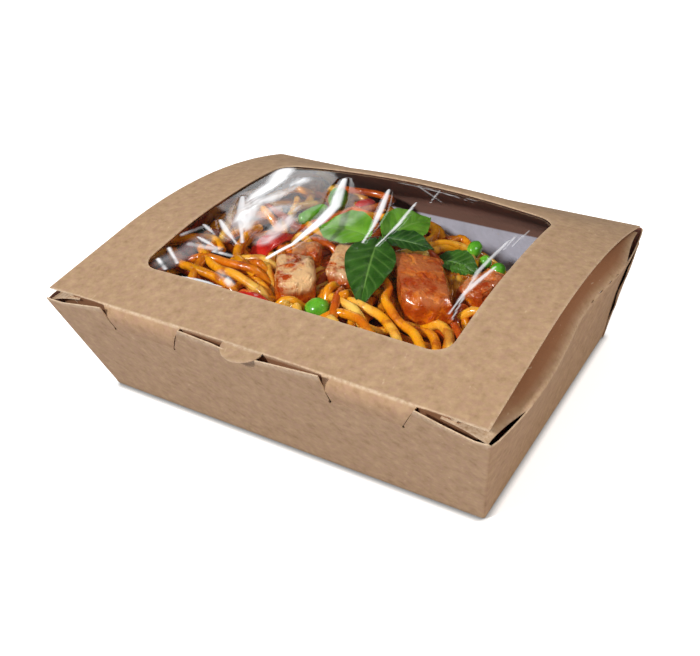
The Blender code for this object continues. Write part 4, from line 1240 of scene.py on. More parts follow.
noodles = {
    "radius": 1.75,
    "spacing": 1.7,
    "tries": {"noodles_lower": 900, "noodles_upper": 420},
    "headroom": {"noodles_lower": -2.4, "noodles_upper": 1.4},
    "crowded": 0.2,  # a noodle that has no room over more of its length than this is left out
    "length": (60.0, 150.0),
    "seed": 11,
    "sides": 10,
    "limits": ((-83.5, 83.5), (-69.5, 66.0)),
    "stiffness": 5,
    "passes": 14,
    "nestle": 0.8,  # the share of its radius by which a noodle stands over what it lies on
    "liftRun": 14.0,
    "endDip": 2.6,
    "endDipRun": 9.0,
    "beside": (3.9, 0.5),  # the spacing in a bundle, and how much more it may be
    "wallGap": 1,
    # how a strewn noodle winds, in radians for each step
    "bend": (-0.05, 0.05),
    "sway": (0.02, 0.13),
    "swayPace": 0.16,
    "lookAhead": 10,
    "turnBack": 0.35,
    # noodles that show most, as places in plan, with how pale each is and how high it lifts
    "placed": (
        (((10, -8), (18, -16), (22, -19), (25, -27), (33, -34), (42, -38), (52, -47)), 0.62, 1.6),
        (((33, 6), (38, -4), (45, -16), (52, -28), (56, -42)), 0.45, 1.2),
        (((38, 10), (41, 0), (48, -10), (55, -23), (60, -38)), 0.6, 1.0),
        (((43, 12), (46, 4), (52, -8), (58, -20), (66, -34)), 0.55, 0.6),
        (((28, -22), (36, -26), (45, -28), (53, -33), (60, -46)), 0.75, 0.8),
        (((30, -27), (38, -31), (46, -33), (52, -40), (56, -50)), 0.5, 0.6),
        (((2, -30), (10, -34), (17, -37), (25, -43), (31, -52)), 0.9, 1.4),
        (((9, -30), (17, -33), (26, -35), (36, -41), (44, -50)), 0.8, 0.8),
        (((-5, -30), (1, -28), (6, -22), (4, -14), (-2, -4)), 0.7, 1.2),
        (((-3, -40), (4, -35.5), (10, -33), (10, -27), (5, -20)), 0.65, 0.8),
        (((-24, 50), (-31, 55), (-37, 52), (-36, 45), (-29, 42)), 0.8, 1.6),
        (((22, 33), (25, 38), (31, 34), (36, 26), (36, 18), (40, 10)), 0.6, 2.0),
        (((32, 28), (38, 22), (41, 13), (50, 8), (60, 0)), 0.5, 1.2),
        (((8, 20), (10, 31), (15, 33), (18, 24), (12, 18)), 0.85, 1.4),
        (((-53, 4), (-51, -8), (-46, -21), (-40, -26), (-30, -30)), 0.75, 1.2),
        (((-68, -20), (-58, -28), (-46, -34), (-32, -36), (-16, -39), (-2, -46)), 0.8, 1.6),
        (((-62, -34), (-51, -30), (-40, -30), (-28, -28), (-20, -22)), 0.55, 1.0),
        (((-36, -18), (-29, -24), (-20, -31), (-11, -40), (-6, -52)), 0.7, 1.4),
        (((-56, 4), (-58, -8), (-58, -20), (-54, -34), (-50, -48)), 0.6, 0.8),
        (((-42, 2), (-44, -12), (-40, -22), (-31, -25), (-22, -20)), 0.5, 0.8),
        (((-80, -38), (-78, -27), (-70, -22), (-60, -18), (-52, -22)), 0.7, 0.8),
        (((-62, 66), (-56, 60), (-49, 48), (-46, 38), (-52, 26)), 0.9, 1.2),
        (((-54, 64), (-46, 58), (-40, 44), (-42, 34)), 0.85, 1.2),
        (((-10, -44), (-2, -43), (6, -46), (12, -54)), 0.8, 0.6),
        (((8, -46), (14, -41), (22, -42), (30, -47), (40, -54)), 0.5, 1.4),
        (((-78, -18), (-74, -8), (-72, 2), (-64, 8), (-56, 14)), 0.55, 0.8),
        (((-70, 26), (-64, 36), (-58, 42), (-50, 40), (-48, 32)), 0.75, 1.2),
        (((-30, 14), (-24, 22), (-16, 30), (-8, 34), (2, 33), (8, 38)), 0.6, 1.2),
        (((-22, 56), (-14, 50), (-6, 48), (2, 44), (8, 40)), 0.75, 1.2),
        (((-14, 40), (-6, 42), (4, 40), (14, 38), (20, 32)), 0.55, 1.6),
    ),
}


def smoothLine(points, spacing):
    # a Catmull-Rom curve through the points, cut into even lengths
    first, last = 2 * np.array(points[0]) - points[1], 2 * np.array(points[-1]) - points[-2]
    ends = [first, *map(np.array, points), last]
    fine = []
    for before, start, end, after in zip(ends, ends[1:], ends[2:], ends[3:]):
        for share in np.arange(0, 1, 0.05):
            bend = (2 * before - 5 * start + 4 * end - after) * share**2
            turn = (3 * start - before - 3 * end + after) * share**3
            fine.append((2 * start + (end - before) * share + bend + turn) / 2)
    fine = np.array([*fine, ends[-2]])
    walked = np.concatenate([[0], np.cumsum(np.linalg.norm(np.diff(fine, axis=0), axis=1))])
    marks = np.arange(0, walked[-1], spacing)
    return np.stack([np.interp(marks, walked, fine[:, axis]) for axis in (0, 1)], axis=1)


def wander(rng, start, heading, length):
    (lowX, highX), (lowY, highY) = noodles["limits"]
    turn, sway, phase = rng.uniform(*noodles["bend"]), rng.uniform(*noodles["sway"]), rng.uniform(0, 6.28)
    ahead = noodles["lookAhead"]
    x, y = start
    line = []
    for index in range(int(length / noodles["spacing"])):
        line.append((x, y))
        heading += turn + sway * math.sin(index * noodles["swayPace"] + phase)
        aheadX, aheadY = x + ahead * math.cos(heading), y + ahead * math.sin(heading)
        if not (lowX < aheadX < highX and lowY < aheadY < highY):
            heading += noodles["turnBack"] * (1 if turn >= 0 else -1)
        x = min(highX, max(lowX, x + noodles["spacing"] * math.cos(heading)))
        y = min(highY, max(lowY, y + noodles["spacing"] * math.sin(heading)))
    return np.array(line)


cells = range(-2, 3)
footprint = [(i, j) for i in cells for j in cells if math.hypot(i, j) <= noodles["radius"] + 0.2]


def smoothed(heights, reach):
    kernel = np.ones(2 * reach + 1) / (2 * reach + 1)
    return np.convolve(np.pad(heights, reach, mode="edge"), kernel, "valid")


def layNoodle(line, headroom, lift=0.0, crowded=1.0):
    # gives the noodle's line with its heights, or nothing where there is no room for it
    radius = noodles["radius"]
    i, j = cellOf(line[:, 0], line[:, 1])
    near = [(a, b) for a, b in footprint if abs(a) + abs(b) < 2]
    support = np.max([laid[i + a, j + b] for a, b in near], axis=0) + radius * noodles["nestle"]
    over = np.min([under[i + a, j + b] for a, b in footprint], axis=0) - radius
    most = np.minimum(ceiling[i, j] - radius, heapHeight(line[:, 0], line[:, 1]) + headroom)
    if np.mean(support > most) > crowded:
        return None
    support, roof = np.minimum(support, most), np.minimum(over, most)
    z = np.minimum(support, roof)
    for _ in range(noodles["passes"]):
        z = np.minimum(np.maximum(smoothed(z, noodles["stiffness"]), support), roof)
    ends = np.minimum(np.arange(len(z)), np.arange(len(z))[::-1]) * noodles["spacing"]
    humps = np.sin(np.linspace(0, 3 * math.pi, len(z))) ** 2
    z = z + lift * np.clip(ends / noodles["liftRun"], 0, 1) * humps
    dip = noodles["endDip"] * np.clip(1 - ends / noodles["endDipRun"], 0, 1) ** 2
    z = smoothed(np.minimum(z, np.minimum(over, ceiling[i, j] - radius)) - dip, 2)
    for a, b in footprint:
        height = z + math.sqrt(max(0.0, radius**2 - a * a - b * b)) if a * a + b * b < radius**2 else z
        np.maximum.at(laid, (i + a, j + b), height)
    # the walls lean, so a low noodle has less room
    gap = noodles["wallGap"]
    x = np.clip(line[:, 0], radius + gap - endWallX(z), endWallX(z) - radius - gap)
    y = np.clip(line[:, 1], frontWallY(z) + radius + gap, backWallY(z) - radius - gap)
    return np.column_stack([x, y, z])


def strewNoodles(part, rng):
    # bundles of one to three noodles side by side, their starts spread by the golden ratio
    (lowX, highX), (lowY, highY) = noodles["limits"]
    gap, spare = noodles["beside"]
    kept, bundle = [], 0
    for index in range(noodles["tries"][part]):
        if bundle == 0:
            bundle, beside = rng.choice((1, 1, 2, 2, 3)), 0
            start = (mix(lowX, highX, (index * 0.618) % 1), mix(lowY, highY, (index * 0.7549 + 0.3) % 1))
            base = wander(rng, start, rng.uniform(0, 6.28), rng.uniform(*noodles["length"]))
            along = np.gradient(base, axis=0)
            along /= np.linalg.norm(along, axis=1)[:, None] + 1e-9
            across = np.column_stack([-along[:, 1], along[:, 0]])
        line = base + across * beside
        line[:, 0] = np.clip(line[:, 0], lowX, highX)
        line[:, 1] = np.clip(line[:, 1], lowY, highY)
        noodle = layNoodle(line, noodles["headroom"][part], 0.0, noodles["crowded"])
        if noodle is not None:
            kept.append((noodle, rng.uniform(0.15, 0.9)))
        beside += gap + rng.uniform(0, spare)
        bundle -= 1
    return kept


def noodleRoutes():
    rng = random.Random(noodles["seed"])
    routes = {"noodles_lower": strewNoodles("noodles_lower", rng)}
    headroom = noodles["headroom"]["noodles_upper"]
    placed = [
        (layNoodle(smoothLine(points, noodles["spacing"]), headroom, lift), pale)
        for points, pale, lift in noodles["placed"]
    ]
    routes["noodles_upper"] = placed + strewNoodles("noodles_upper", rng)
    for part, kept in routes.items():
        print(part, len(kept), "noodles")
    return routes


def noodleTree():
    # a chain of points becomes a round strand; the strand's tone goes with it
    inputs = [("Radius", "NodeSocketFloat", 0.002), ("Sides", "NodeSocketInt", 8)]
    tree, given, realize = newTree("noodleStrands", inputs)
    chain = addNode(tree, "GeometryNodeMeshToCurve")
    ring = addNode(tree, "GeometryNodeCurvePrimitiveCircle", mode="RADIUS")
    strand = addNode(tree, "GeometryNodeCurveToMesh")
    strand.inputs["Fill Caps"].default_value = True
    smooth = addNode(tree, "GeometryNodeSetShadeSmooth")
    tree.links.new(given.outputs["Geometry"], chain.inputs[0])
    tree.links.new(chain.outputs[0], strand.inputs["Curve"])
    tree.links.new(given.outputs["Radius"], ring.inputs["Radius"])
    tree.links.new(given.outputs["Sides"], ring.inputs["Resolution"])
    tree.links.new(ring.outputs[0], strand.inputs["Profile Curve"])
    tree.links.new(strand.outputs[0], smooth.inputs[0])
    tree.links.new(smooth.outputs[0], realize.inputs[0])
    return tree


def noodleMaterial():
    subsurface = (0.18, (1.0, 0.5, 0.15), 0.003)
    material, tree, shader, place = foodMaterial("noodle_golden", (0.55, 0.12), subsurface)
    patchy = mathNode(tree, "SUBTRACT", noiseNode(tree, place, 55.0, 2.0, 0.5), 0.5)
    paleness = mathNode(tree, "ADD", attributeNode(tree, "tone"), times(tree, patchy, 1.1), clamp=True)
    ramp = addNode(tree, "ShaderNodeValToRGB")
    feed(tree, ramp.inputs[0], paleness)
    stops = ramp.color_ramp.elements
    stops[0].position, stops[0].color = 0.0, (0.36, 0.034, 0.002, 1)
    stops[1].position, stops[1].color = 1.0, (0.95, 0.60, 0.12, 1)
    for position, colour in ((0.35, (0.62, 0.115, 0.0, 1)), (0.7, (0.88, 0.36, 0.004, 1))):
        stop = stops.new(position)
        stop.color = colour
    wet = useGroup(tree, sauce, Vector=place, Size=120.0, Amount=0.35)
    soaked = times(tree, wet.outputs["Mask"], 0.62)
    stainAndPaintedShade = mixColours(tree, soaked, ramp.outputs[0], (0.32, 0.024, 0.003))
    feed(tree, shader.inputs["Base Color"], stainAndPaintedShade)
    feed(tree, shader.inputs["Roughness"], wet.outputs["Roughness"])
    feed(tree, shader.inputs["Normal"], bumpNode(tree, wet.outputs["Height"], 0.0003, 0.5))
    return material


def chainOf(start, count):
    return [(start + step, start + step + 1) for step in range(count - 1)]


def makeNoodles():
    golden = noodleMaterial()
    for name, routes in noodleRoutes().items():
        points, edges, tones = [], [], []
        for route, pale in routes:
            start = len(points)
            points.extend(map(tuple, route))
            edges.extend(chainOf(start, len(route)))
            tones.extend([pale] * len(route))
        piece = makePiece(name, points, [], values={"tone": tones}, edges=edges)
        strand = {"Radius": noodles["radius"] * mm, "Sides": noodles["sides"], "Material": golden}
        runTree(piece, strandTree, strand)
        settle(piece, "box", ["noodle_heap"])


strandTree = noodleTree()
makeNoodles()
print("noodles laid")

# ---- the sauce-soaked core under the noodles

core = {
    "columns": 44,
    "rows": 36,
    "endGap": 0.8,
    "frontGap": 1.4,
    "backGap": 1.6,
    "bluntCorners": 0.05,
    "rise": 1.6,  # over the level that the first noodles lie on
    "edgeDrop": 5.0,
    "lumps": 0.9,
    "lumpSize": 0.12,
    "leastHeight": 0.6,
    "firstGuess": 40.0,
}


def makeCore():
    material, tree, shader, place = newMaterial("sauce_dark", Coat_Weight=0.6, Coat_Roughness=0.1)
    wet = useGroup(tree, sauce, Vector=place, Size=160.0, Amount=0.6)
    colour = mixColours(tree, wet.outputs["Mask"], (0.30, 0.055, 0.012), (0.10, 0.012, 0.006))
    feed(tree, shader.inputs["Base Color"], colour)
    feed(tree, shader.inputs["Roughness"], wet.outputs["Roughness"])
    feed(tree, shader.inputs["Normal"], bumpNode(tree, wet.outputs["Height"], 0.0008, 0.6))
    columns, rows, blunt = core["columns"], core["rows"], core["bluntCorners"]
    points = []
    for row in range(rows + 1):
        for column in range(columns + 1):
            across, along = 2 * column / columns - 1, 2 * row / rows - 1
            # the walls lean, so height and place are found in turns
            z = core["firstGuess"]
            for _ in range(3):
                x = across * (endWallX(z) - heap["wallGap"] - core["endGap"]) * (1 - blunt * along**4)
                share = (along * (1 - blunt * across**4) + 1) / 2
                front, back = frontWallY(z) + core["frontGap"], backWallY(z) - core["backGap"]
                y = mix(max(front, heap["front"]), back, share)
                drop = core["edgeDrop"] * max(abs(across), abs(along)) ** 10
                z = float(heapHeight(x, y)) - heap["coreSink"] + core["rise"] - drop
            z += core["lumps"] * noise.noise(Vector((x, y, 0)) * core["lumpSize"])
            points.append((x, y, max(heap["floor"] + core["leastHeight"], z)))
    faces = gridFaces(rows + 1, columns + 1)
    across = columns + 1
    rim = list(range(columns))
    rim += [row * across + columns for row in range(rows)]
    rim += [rows * across + column for column in range(columns, 0, -1)]
    rim += [row * across for row in range(rows, 0, -1)]
    foot = []
    for point in rim:
        x, y, z = points[point]
        low = heap["floor"]
        share = (y - frontWallY(z)) / (backWallY(z) - frontWallY(z))
        foot.append(len(points))
        points.append((x * endWallX(low) / endWallX(z), mix(frontWallY(low), backWallY(low), share), low))
    for here in range(len(rim)):
        after = (here + 1) % len(rim)
        faces.append([foot[here], foot[after], rim[after], rim[here]])
    faces.append(foot[::-1])
    piece = makePiece("sauce_core", points, faces, [material])
    return soften(piece, 60)


settle(makeCore(), "box")
print("core made")

# ---- chicken: torn chunks with a sticky orange glaze, paler where it has run off

chicken = {
    "seed": 3,
    "bare": {
        "chicken_1": 0.12,
        "chicken_2": 0.75,
        "chicken_3": 0.8,
        "chicken_4": 0.35,
        "chicken_5": 0.2,
        "chicken_6": 0.4,
    },
    "bareOver": 4,
    "lumps": 0.9,
    "lumpSize": 0.13,
    "grain": 0.28,
    "grainSize": (0.5, 0.5, 0.9),
    "shrink": 0.25,
    "calmer": {"chicken_1": 0.3},
    "heldEdges": {"chicken_1": 0.9, "chicken_2": 0.4, "chicken_5": 0.6},
}


def nodeCopy(name, pieceName, levels, heldEdges=0.0):
    # the CAD node's own shape as a welded copy, subdivided for finer relief
    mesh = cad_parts[name].data.copy()
    mesh.name = pieceName
    mesh.materials.clear()
    bm = bmesh.new()
    bm.from_mesh(mesh)
    bmesh.ops.remove_doubles(bm, verts=bm.verts, dist=0.005 * mm)
    widest = {"angle_face_threshold": 1.0, "angle_shape_threshold": 1.2}
    bmesh.ops.join_triangles(bm, faces=bm.faces, **widest)
    bmesh.ops.recalc_face_normals(bm, faces=bm.faces)
    bm.to_mesh(mesh)
    bm.free()
    if "custom_normal" in mesh.attributes:
        mesh.attributes.remove(mesh.attributes["custom_normal"])
    piece = bpy.data.objects.new(pieceName, mesh)
    looks.objects.link(piece)
    if heldEdges:
        # bevelled edges stay crisp under the subdivision
        angles = bmesh.new()
        angles.from_mesh(mesh)
        crease = angles.edges.layers.float.new("crease_edge")
        for edge in angles.edges:
            edge[crease] = heldEdges if edge.calc_face_angle(0.0) > 0.35 else 0.0
        angles.to_mesh(mesh)
        angles.free()
    finer = piece.modifiers.new("finer", "SUBSURF")
    finer.levels = levels
    finer.render_levels = levels
    return bake(piece)


def displace(piece, howFar):
    mesh = piece.data
    normals = [Vector(normal.vector) for normal in mesh.vertex_normals]
    for vert, normal in zip(mesh.vertices, normals):
        vert.co += normal * howFar(Vector(vert.co) / mm) * mm
    mesh.update()
    return soften(piece, 70)


def chickenMaterial():
    subsurface = (0.08, (1.0, 0.4, 0.2), 0.003)
    material, tree, shader, place = foodMaterial("chicken_glazed", (0.7, 0.1), subsurface)
    wet = useGroup(tree, sauce, Vector=place, Size=170.0, Amount=0.55)
    patch = noiseNode(tree, place, 120.0, 4.0, 0.6, 0.4)
    colour = mixColours(tree, remap(tree, patch, 0.35, 0.65), (0.50, 0.070, 0.0), (0.82, 0.215, 0.0))
    soaked = times(tree, wet.outputs["Mask"], 0.65)
    colour = mixColours(tree, soaked, colour, (0.30, 0.018, 0.001))
    crumb = noiseNode(tree, place, 420.0, 4.0, 0.7)
    patchy = remap(tree, mathNode(tree, "ADD", patch, times(tree, crumb, 0.5)), 0.62, 0.78)
    bare = times(tree, attributeNode(tree, "bare"), patchy, clamp=True)
    colour = mixColours(tree, bare, colour, (0.82, 0.56, 0.27))
    feed(tree, shader.inputs["Base Color"], colour)
    dull = mathNode(tree, "ADD", wet.outputs["Roughness"], times(tree, bare, 0.35))
    feed(tree, shader.inputs["Roughness"], dull)
    height = mathNode(tree, "ADD", times(tree, crumb, 0.6), wet.outputs["Height"])
    feed(tree, shader.inputs["Normal"], bumpNode(tree, height, 0.0005, 0.6))
    return material


def makeChicken():
    glaze = chickenMaterial()
    for name, bareShare in chicken["bare"].items():
        piece = nodeCopy(name, name + "_chunk", 3, chicken["heldEdges"].get(name, 0.0))
        low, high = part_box(name)
        middle = (low + high) / 2 / mm
        seedPlace = Vector((sum(map(ord, name)) % 17, 3.7, chicken["seed"]))
        rough = chicken["calmer"].get(name, 1.0)

        def relief(point):
            broad = noise.fractal(point * chicken["lumpSize"] + seedPlace, 0.8, 2.1, 3) * chicken["lumps"]
            grainPlace = Vector([part * size for part, size in zip(point, chicken["grainSize"])])
            torn = noise.ridged_multi_fractal(grainPlace + seedPlace, 0.9, 2.2, 3, 1.0, 2.0)
            return rough * (broad - chicken["grain"] * abs(torn - 0.8)) - chicken["shrink"]

        displace(piece, relief)
        bare = []
        for vert in piece.data.vertices:
            point = Vector(vert.co) / mm
            bare.append(bareShare * ease((point.z - middle.z) / chicken["bareOver"]))
        piece.data.attributes.new("bare", "FLOAT", "POINT").data.foreach_set("value", bare)
        piece.data.materials.append(glaze)
        settle(piece, "box", [name])


makeChicken()
print("chicken done")

# ---- peas, green beans and red pepper


def greenMaterial():
    subsurface = (0.25, (0.4, 1.0, 0.2), 0.002)
    material, tree, shader, place = foodMaterial("pea_skin", (0.5, 0.12), subsurface)
    cloud = noiseNode(tree, place, 180.0, 2.0, 0.5)
    colour = mixColours(tree, remap(tree, cloud, 0.3, 0.7), (0.055, 0.30, 0.008), (0.20, 0.56, 0.035))
    feed(tree, shader.inputs["Base Color"], colour)
    pores = noiseNode(tree, place, 1500.0, 2.0)
    feed(tree, shader.inputs["Roughness"], remap(tree, pores, 0.3, 0.7, 0.2, 0.38))
    feed(tree, shader.inputs["Normal"], bumpNode(tree, pores, 0.0001, 0.35))
    return material


def pepperMaterial():
    subsurface = (0.15, (1.0, 0.15, 0.1), 0.002)
    material, tree, shader, place = foodMaterial("pepper_skin", (0.8, 0.06), subsurface)
    cloud = noiseNode(tree, place, 150.0, 3.0, 0.5)
    colour = mixColours(tree, remap(tree, cloud, 0.3, 0.7), (0.50, 0.006, 0.006), (0.75, 0.03, 0.015))
    feed(tree, shader.inputs["Base Color"], colour)
    dents = noiseNode(tree, place, 500.0, 2.0)
    feed(tree, shader.inputs["Roughness"], remap(tree, dents, 0.3, 0.7, 0.12, 0.3))
    feed(tree, shader.inputs["Normal"], bumpNode(tree, dents, 0.0003, 0.4))
    return material


small = {
    "lift": {"pepper_1": 2.2, "pepper_4": 1.5, "pea_1": 0.8},  # so that they lie on the noodles
    "dentSize": 0.45,
    "dent": {"pea": 0.22, "bean": 0.22, "pepper": 0.3},
    "wrinkleSize": 1.3,
    "wrinkle": {"pepper": 0.1},
}


def makeSmallPieces():
    green, red = greenMaterial(), pepperMaterial()
    for name in toppingNames:
        kind = name.split("_")[0]
        if kind == "chicken":
            continue
        piece = nodeCopy(name, name + "_piece", 2)
        offset = Vector((sum(map(ord, name)) % 13, 1.3, 0))

        def relief(point):
            dent = small["dent"][kind] * noise.noise(point * small["dentSize"] + offset)
            wrinkle = noise.noise(point * small["wrinkleSize"] + offset)
            return dent + small["wrinkle"].get(kind, 0.0) * wrinkle

        displace(piece, relief)
        piece.data.transform(Matrix.Translation((0, 0, small["lift"].get(name, 0.0) * mm)))
        piece.data.materials.append(red if kind == "pepper" else green)
        settle(piece, "box", [name])


makeSmallPieces()
print("peas, beans and pepper done")

# ---- basil: a sprig of four leaves on its stem, and loose leaves

basil = {
    # stem end, tip, width, tilt, curl; millimetres and degrees, as the solids have them
    "leaves": {
        "basil_1": ((8.2, -2.2, 58), (18.6, -34.5, 48), 21, 6, 2.2),
        "basil_2": ((2.4, 2.6, 57), (-25, 7.5, 52.5), 18, -20, 1.8),
        "basil_3": ((7.6, 3.4, 57.5), (15, 29, 56), 15, 8, 1.6),
        "basil_4": ((9.6, 0.4, 56.5), (28.5, 5, 53.5), 11, -14, 1.2),
        "basil_5": ((26.5, 13.5, 54), (44.5, 13, 51), 13, -14, 2.0),
        "basil_6": ((37.5, 0.5, 52), (45, 2.5, 50.5), 6, -10, 0.5),
        "basil_7": ((-80, -6.5, 46), (-79, 4, 46), 7, 12, 0.6),
    },
    "pale": {"basil_2": 0.9, "basil_3": 0.75, "basil_5": 0.15, "basil_6": 0.3, "basil_1": 0.1},
    "wider": {"basil_1": 0.9, "basil_3": 1.2, "basil_2": 1.05},
    "tiltMore": {"basil_3": -30.0},
    "broadest": 0.78,
    "thickness": 0.35,
    "steps": 56,
    "halfColumns": 14,
    "veins": 6,
    "veinSlant": 0.24,
    "veinWidth": 0.010,
    "ribWidth": 0.035,
    "groove": (0.5, 0.10),  # depth and width along the midrib
    "pillow": 0.28,
    "wave": (0.5, 9, 2),  # height, then radians along and across the leaf
    "frill": (0.22, 31),
    "stem": ((6.2, 0, 57.4), (5.6, 0.8, 54), (4.4, 2.4, 50.5), (2.4, 5, 47.5)),
    "stemSteps": 20,
    "stemRadius": 1.0,
    "stemSides": 12,
}


def basilMaterial():
    subsurface = (0.1, (0.3, 1.0, 0.15), 0.001)
    material, tree, shader, place = foodMaterial("basil_leaf", (0.25, 0.2), subsurface)
    veined = times(tree, attributeNode(tree, "vein"), 0.6)
    cells = addNode(tree, "ShaderNodeTexVoronoi", feature="DISTANCE_TO_EDGE")
    feed(tree, cells.inputs["Vector"], place)
    cells.inputs["Scale"].default_value = 900.0
    cloud = noiseNode(tree, place, 200.0, 3.0, 0.6)
    clouded = remap(tree, cloud, 0.3, 0.7)
    deep = mixColours(tree, clouded, (0.005, 0.036, 0.0005), (0.018, 0.098, 0.002))
    light = mixColours(tree, clouded, (0.08, 0.27, 0.006), (0.17, 0.41, 0.016))
    colour = mixColours(tree, attributeNode(tree, "pale"), deep, light)
    colour = mixColours(tree, veined, colour, (0.22, 0.42, 0.08))
    feed(tree, shader.inputs["Base Color"], colour)
    feed(tree, shader.inputs["Roughness"], remap(tree, cloud, 0.3, 0.7, 0.3, 0.48))
    height = mathNode(tree, "SUBTRACT", remap(tree, cells.outputs[0], 0.0, 0.15, 0.0, 0.5), veined)
    feed(tree, shader.inputs["Normal"], bumpNode(tree, height, 0.0002, 0.5))
    return material


def veinAt(share, across):
    # 1 on the midrib and the side veins that leave it forwards
    rib = math.exp(-((across / basil["ribWidth"]) ** 2))
    phase = (share - basil["veinSlant"] * abs(across) ** 0.85) * (basil["veins"] + 1)
    near = abs(phase - round(phase)) / (basil["veins"] + 1)
    side = 0.0
    if 0.5 < phase < basil["veins"] + 0.4:
        side = math.exp(-((near / basil["veinWidth"]) ** 2)) * (1 - 0.6 * abs(across))
    return max(rib, 0.7 * side), phase


def makeLeaf(name, material):
    stemEnd, tip, width, tilt, curl = basil["leaves"][name]
    start, end = Vector(stemEnd), Vector(tip)
    along = end - start
    level = Vector((0, 0, 1)).cross(along).normalized()
    if level.y < 0:
        level.negate()
    tilt = math.radians(tilt + basil["tiltMore"].get(name, 0.0))
    side = level * math.cos(tilt) - Vector((0, 0, 1)) * math.sin(tilt)
    columns = spread(-1, 1, 2 * basil["halfColumns"])
    points, veins, ownPhase = [], [], sum(map(ord, name))
    high, alongPace, acrossPace = basil["wave"]
    frillHigh, frillPace = basil["frill"]
    grooveDepth, grooveWidth = basil["groove"]
    for step in range(basil["steps"] + 1):
        share = step / basil["steps"]
        swell = math.sin(math.pi * min(0.99, max(0.008, share)) ** basil["broadest"])
        half = 0.5 * width * basil["wider"].get(name, 1.0) * swell**0.9
        arch = curl * math.sin(math.pi * share)
        for across in columns:
            vein, phase = veinAt(share, across)
            out = abs(across)
            cup = curl * 0.5 * across**2
            frill = frillHigh * out**3 * math.sin(frillPace * share + ownPhase)
            wave = high * across**2 * math.sin(alongPace * share + acrossPace * across) + frill
            pillow = math.sin(math.pi * (phase % 1)) * min(1, 3 * out) * (1 - out**3)
            pillow *= basil["pillow"]
            fold = -grooveDepth * math.exp(-((across / grooveWidth) ** 2))
            lift = Vector((0, 0, arch + cup + wave + (pillow + fold) * min(1, half / 4)))
            points.append(start + along * share + side * across * half + lift)
            veins.append(vein)
    faces = gridFaces(basil["steps"] + 1, len(columns))
    low, high = (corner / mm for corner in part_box(name))
    heights = [point.z for point in points]
    shift = (low.z + high.z) / 2 - (min(heights) + max(heights)) / 2
    points = [point + Vector((0, 0, shift)) for point in points]
    values = {"vein": veins, "pale": [basil["pale"].get(name, 0.0)] * len(points)}
    piece = makePiece(name + "_leaf", points, faces, [material], values=values)
    bm = bmesh.new()
    bm.from_mesh(piece.data)
    bm.normal_update()
    if sum(face.normal.z for face in bm.faces) < 0:
        bmesh.ops.reverse_faces(bm, faces=bm.faces)
    bm.to_mesh(piece.data)
    bm.free()
    solid = piece.modifiers.new("thickness", "SOLIDIFY")
    solid.thickness = basil["thickness"] * mm
    solid.offset = 0
    bake(piece)
    return soften(piece, 60)


def makeBasil():
    leafSkin = basilMaterial()
    for name in basil["leaves"]:
        settle(makeLeaf(name, leafSkin), "box", [name])
    points = smoothSpine(basil["stem"], basil["stemSteps"])
    looksOf = {"vein": 0.7, "pale": 0.6, "tone": 0.5}
    values = {attribute: [number] * len(points) for attribute, number in looksOf.items()}
    stem = makePiece("basil_stem_piece", points, [], values=values, edges=chainOf(0, len(points)))
    strand = {"Radius": basil["stemRadius"] * mm, "Sides": basil["stemSides"], "Material": leafSkin}
    runTree(stem, strandTree, strand)
    settle(stem, "box", ["basil_stem"])


def smoothSpine(points, count):
    line = [Vector(point) for point in points]
    result = []
    for index in range(count + 1):
        place = index / count * (len(line) - 1)
        left = min(int(place), len(line) - 2)
        result.append(line[left].lerp(line[left + 1], ease(place - left) * 0.3 + (place - left) * 0.7))
    return result


makeBasil()
print("basil done")

# ---- floor, lights and camera

studio = {
    # metres and degrees
    "target": (-0.018246, 0.017076, 0.0),
    "distance": 0.40515,
    "azimuth": 32.20,
    "elevation": 32.91,
    "roll": -2.52,
    "lens": 46.81,
    "sky": 0.5,
    "skyInGloss": 0.03,
    "floorShows": 0.9,
    "floorGlow": 0.55,
    "floorBounces": (0.35, 0.37, 0.46),
    "contactReach": 0.0032,
    "contactShade": 0.22,
    "aim": (-0.03, 0, 0.04),
    "key": {"place": (-0.92, -2.45, 2.0), "size": (0.3, 0.3), "power": 110.0, "colour": (1, 1, 1)},
    "top": {"place": (1.5, 0.5, 2.4), "size": (0.4, 0.4), "power": 14.0, "colour": (1, 0.98, 0.95)},
    "fill": {"place": (0.90, -0.35, 0.12), "size": (0.5, 0.2), "power": 4.0, "colour": (1, 0.84, 0.66)},
    "card": {"place": (-0.60, 0.72, 0.38), "size": (0.2, 0.46), "power": 0.4, "colour": (1, 1, 1)},
}


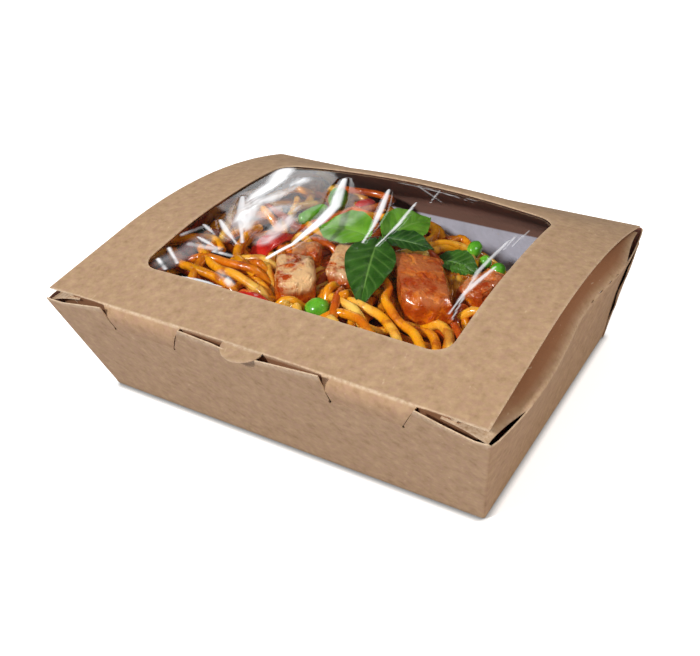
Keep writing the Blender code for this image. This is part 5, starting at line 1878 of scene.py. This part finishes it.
def makeFloor():
    bpy.ops.mesh.primitive_plane_add(size=6)
    floor = bpy.context.object
    floor.name = "studio_floor"
    material, tree, shader, _ = newMaterial("studio_white", Roughness=0.9)
    # lit from below like a light table, yet it throws little light back up at the walls
    seen = addNode(tree, "ShaderNodeLightPath").outputs["Is Camera Ray"]
    near = addNode(tree, "ShaderNodeAmbientOcclusion", samples=12)
    near.inputs["Distance"].default_value = studio["contactReach"]
    shade = mixColours(tree, seen, studio["floorBounces"], [studio["floorShows"]] * 3)
    reached = remap(tree, near.outputs["AO"], 0.35, 0.95, studio["contactShade"], 1.0)
    feed(tree, shader.inputs["Base Color"], mixColours(tree, reached, (0, 0, 0), shade))
    shader.inputs["Emission Color"].default_value = (1, 1, 1, 1)
    glow = times(tree, times(tree, seen, studio["floorGlow"]), reached)
    feed(tree, shader.inputs["Emission Strength"], glow)
    shader.inputs["Specular IOR Level"].default_value = 0.1
    floor.data.materials.append(material)


def makeCamera():
    data = bpy.data.cameras.new("camera")
    data.lens = studio["lens"]
    data.sensor_width = 36
    data.clip_start, data.clip_end = 0.01, 20
    camera = bpy.data.objects.new("camera", data)
    scene.collection.objects.link(camera)
    azimuth, elevation = math.radians(studio["azimuth"]), math.radians(studio["elevation"])
    level = math.cos(elevation)
    back = Vector((math.sin(azimuth) * level, -math.cos(azimuth) * level, math.sin(elevation)))
    roll = Matrix.Rotation(math.radians(studio["roll"]), 3, "Z")
    turn = (-back).to_track_quat("-Z", "Y").to_matrix() @ roll
    eye = Vector(studio["target"]) + back * studio["distance"]
    camera.matrix_world = Matrix.Translation(eye) @ turn.to_4x4()
    scene.camera = camera


def addLight(name, place, size, power, colour):
    data = bpy.data.lights.new(name, "AREA")
    data.shape = "RECTANGLE"
    data.size, data.size_y = size
    data.energy = power
    data.color = colour
    light = bpy.data.objects.new(name, data)
    scene.collection.objects.link(light)
    light.location = place
    towards = Vector(studio["aim"]) - Vector(place)
    light.rotation_euler = towards.to_track_quat("-Z", "Y").to_euler()
    light.visible_diffuse = name != "card"  # the card only shows as a glare on the film
    light.visible_camera = False


def makeStudio():
    makeFloor()
    makeCamera()
    world = bpy.data.worlds.new("studio_sky")
    world.use_nodes = True
    tree = world.node_tree
    gloss = addNode(tree, "ShaderNodeLightPath").outputs["Is Glossy Ray"]
    strength = remap(tree, gloss, 0.0, 1.0, studio["sky"], studio["skyInGloss"])
    tree.nodes["Background"].inputs[0].default_value = (1, 1, 1, 1)
    feed(tree, tree.nodes["Background"].inputs[1], strength)
    scene.world = world
    for name in ("key", "top", "fill", "card"):
        addLight(name, **studio[name])


makeStudio()
print("studio lit")
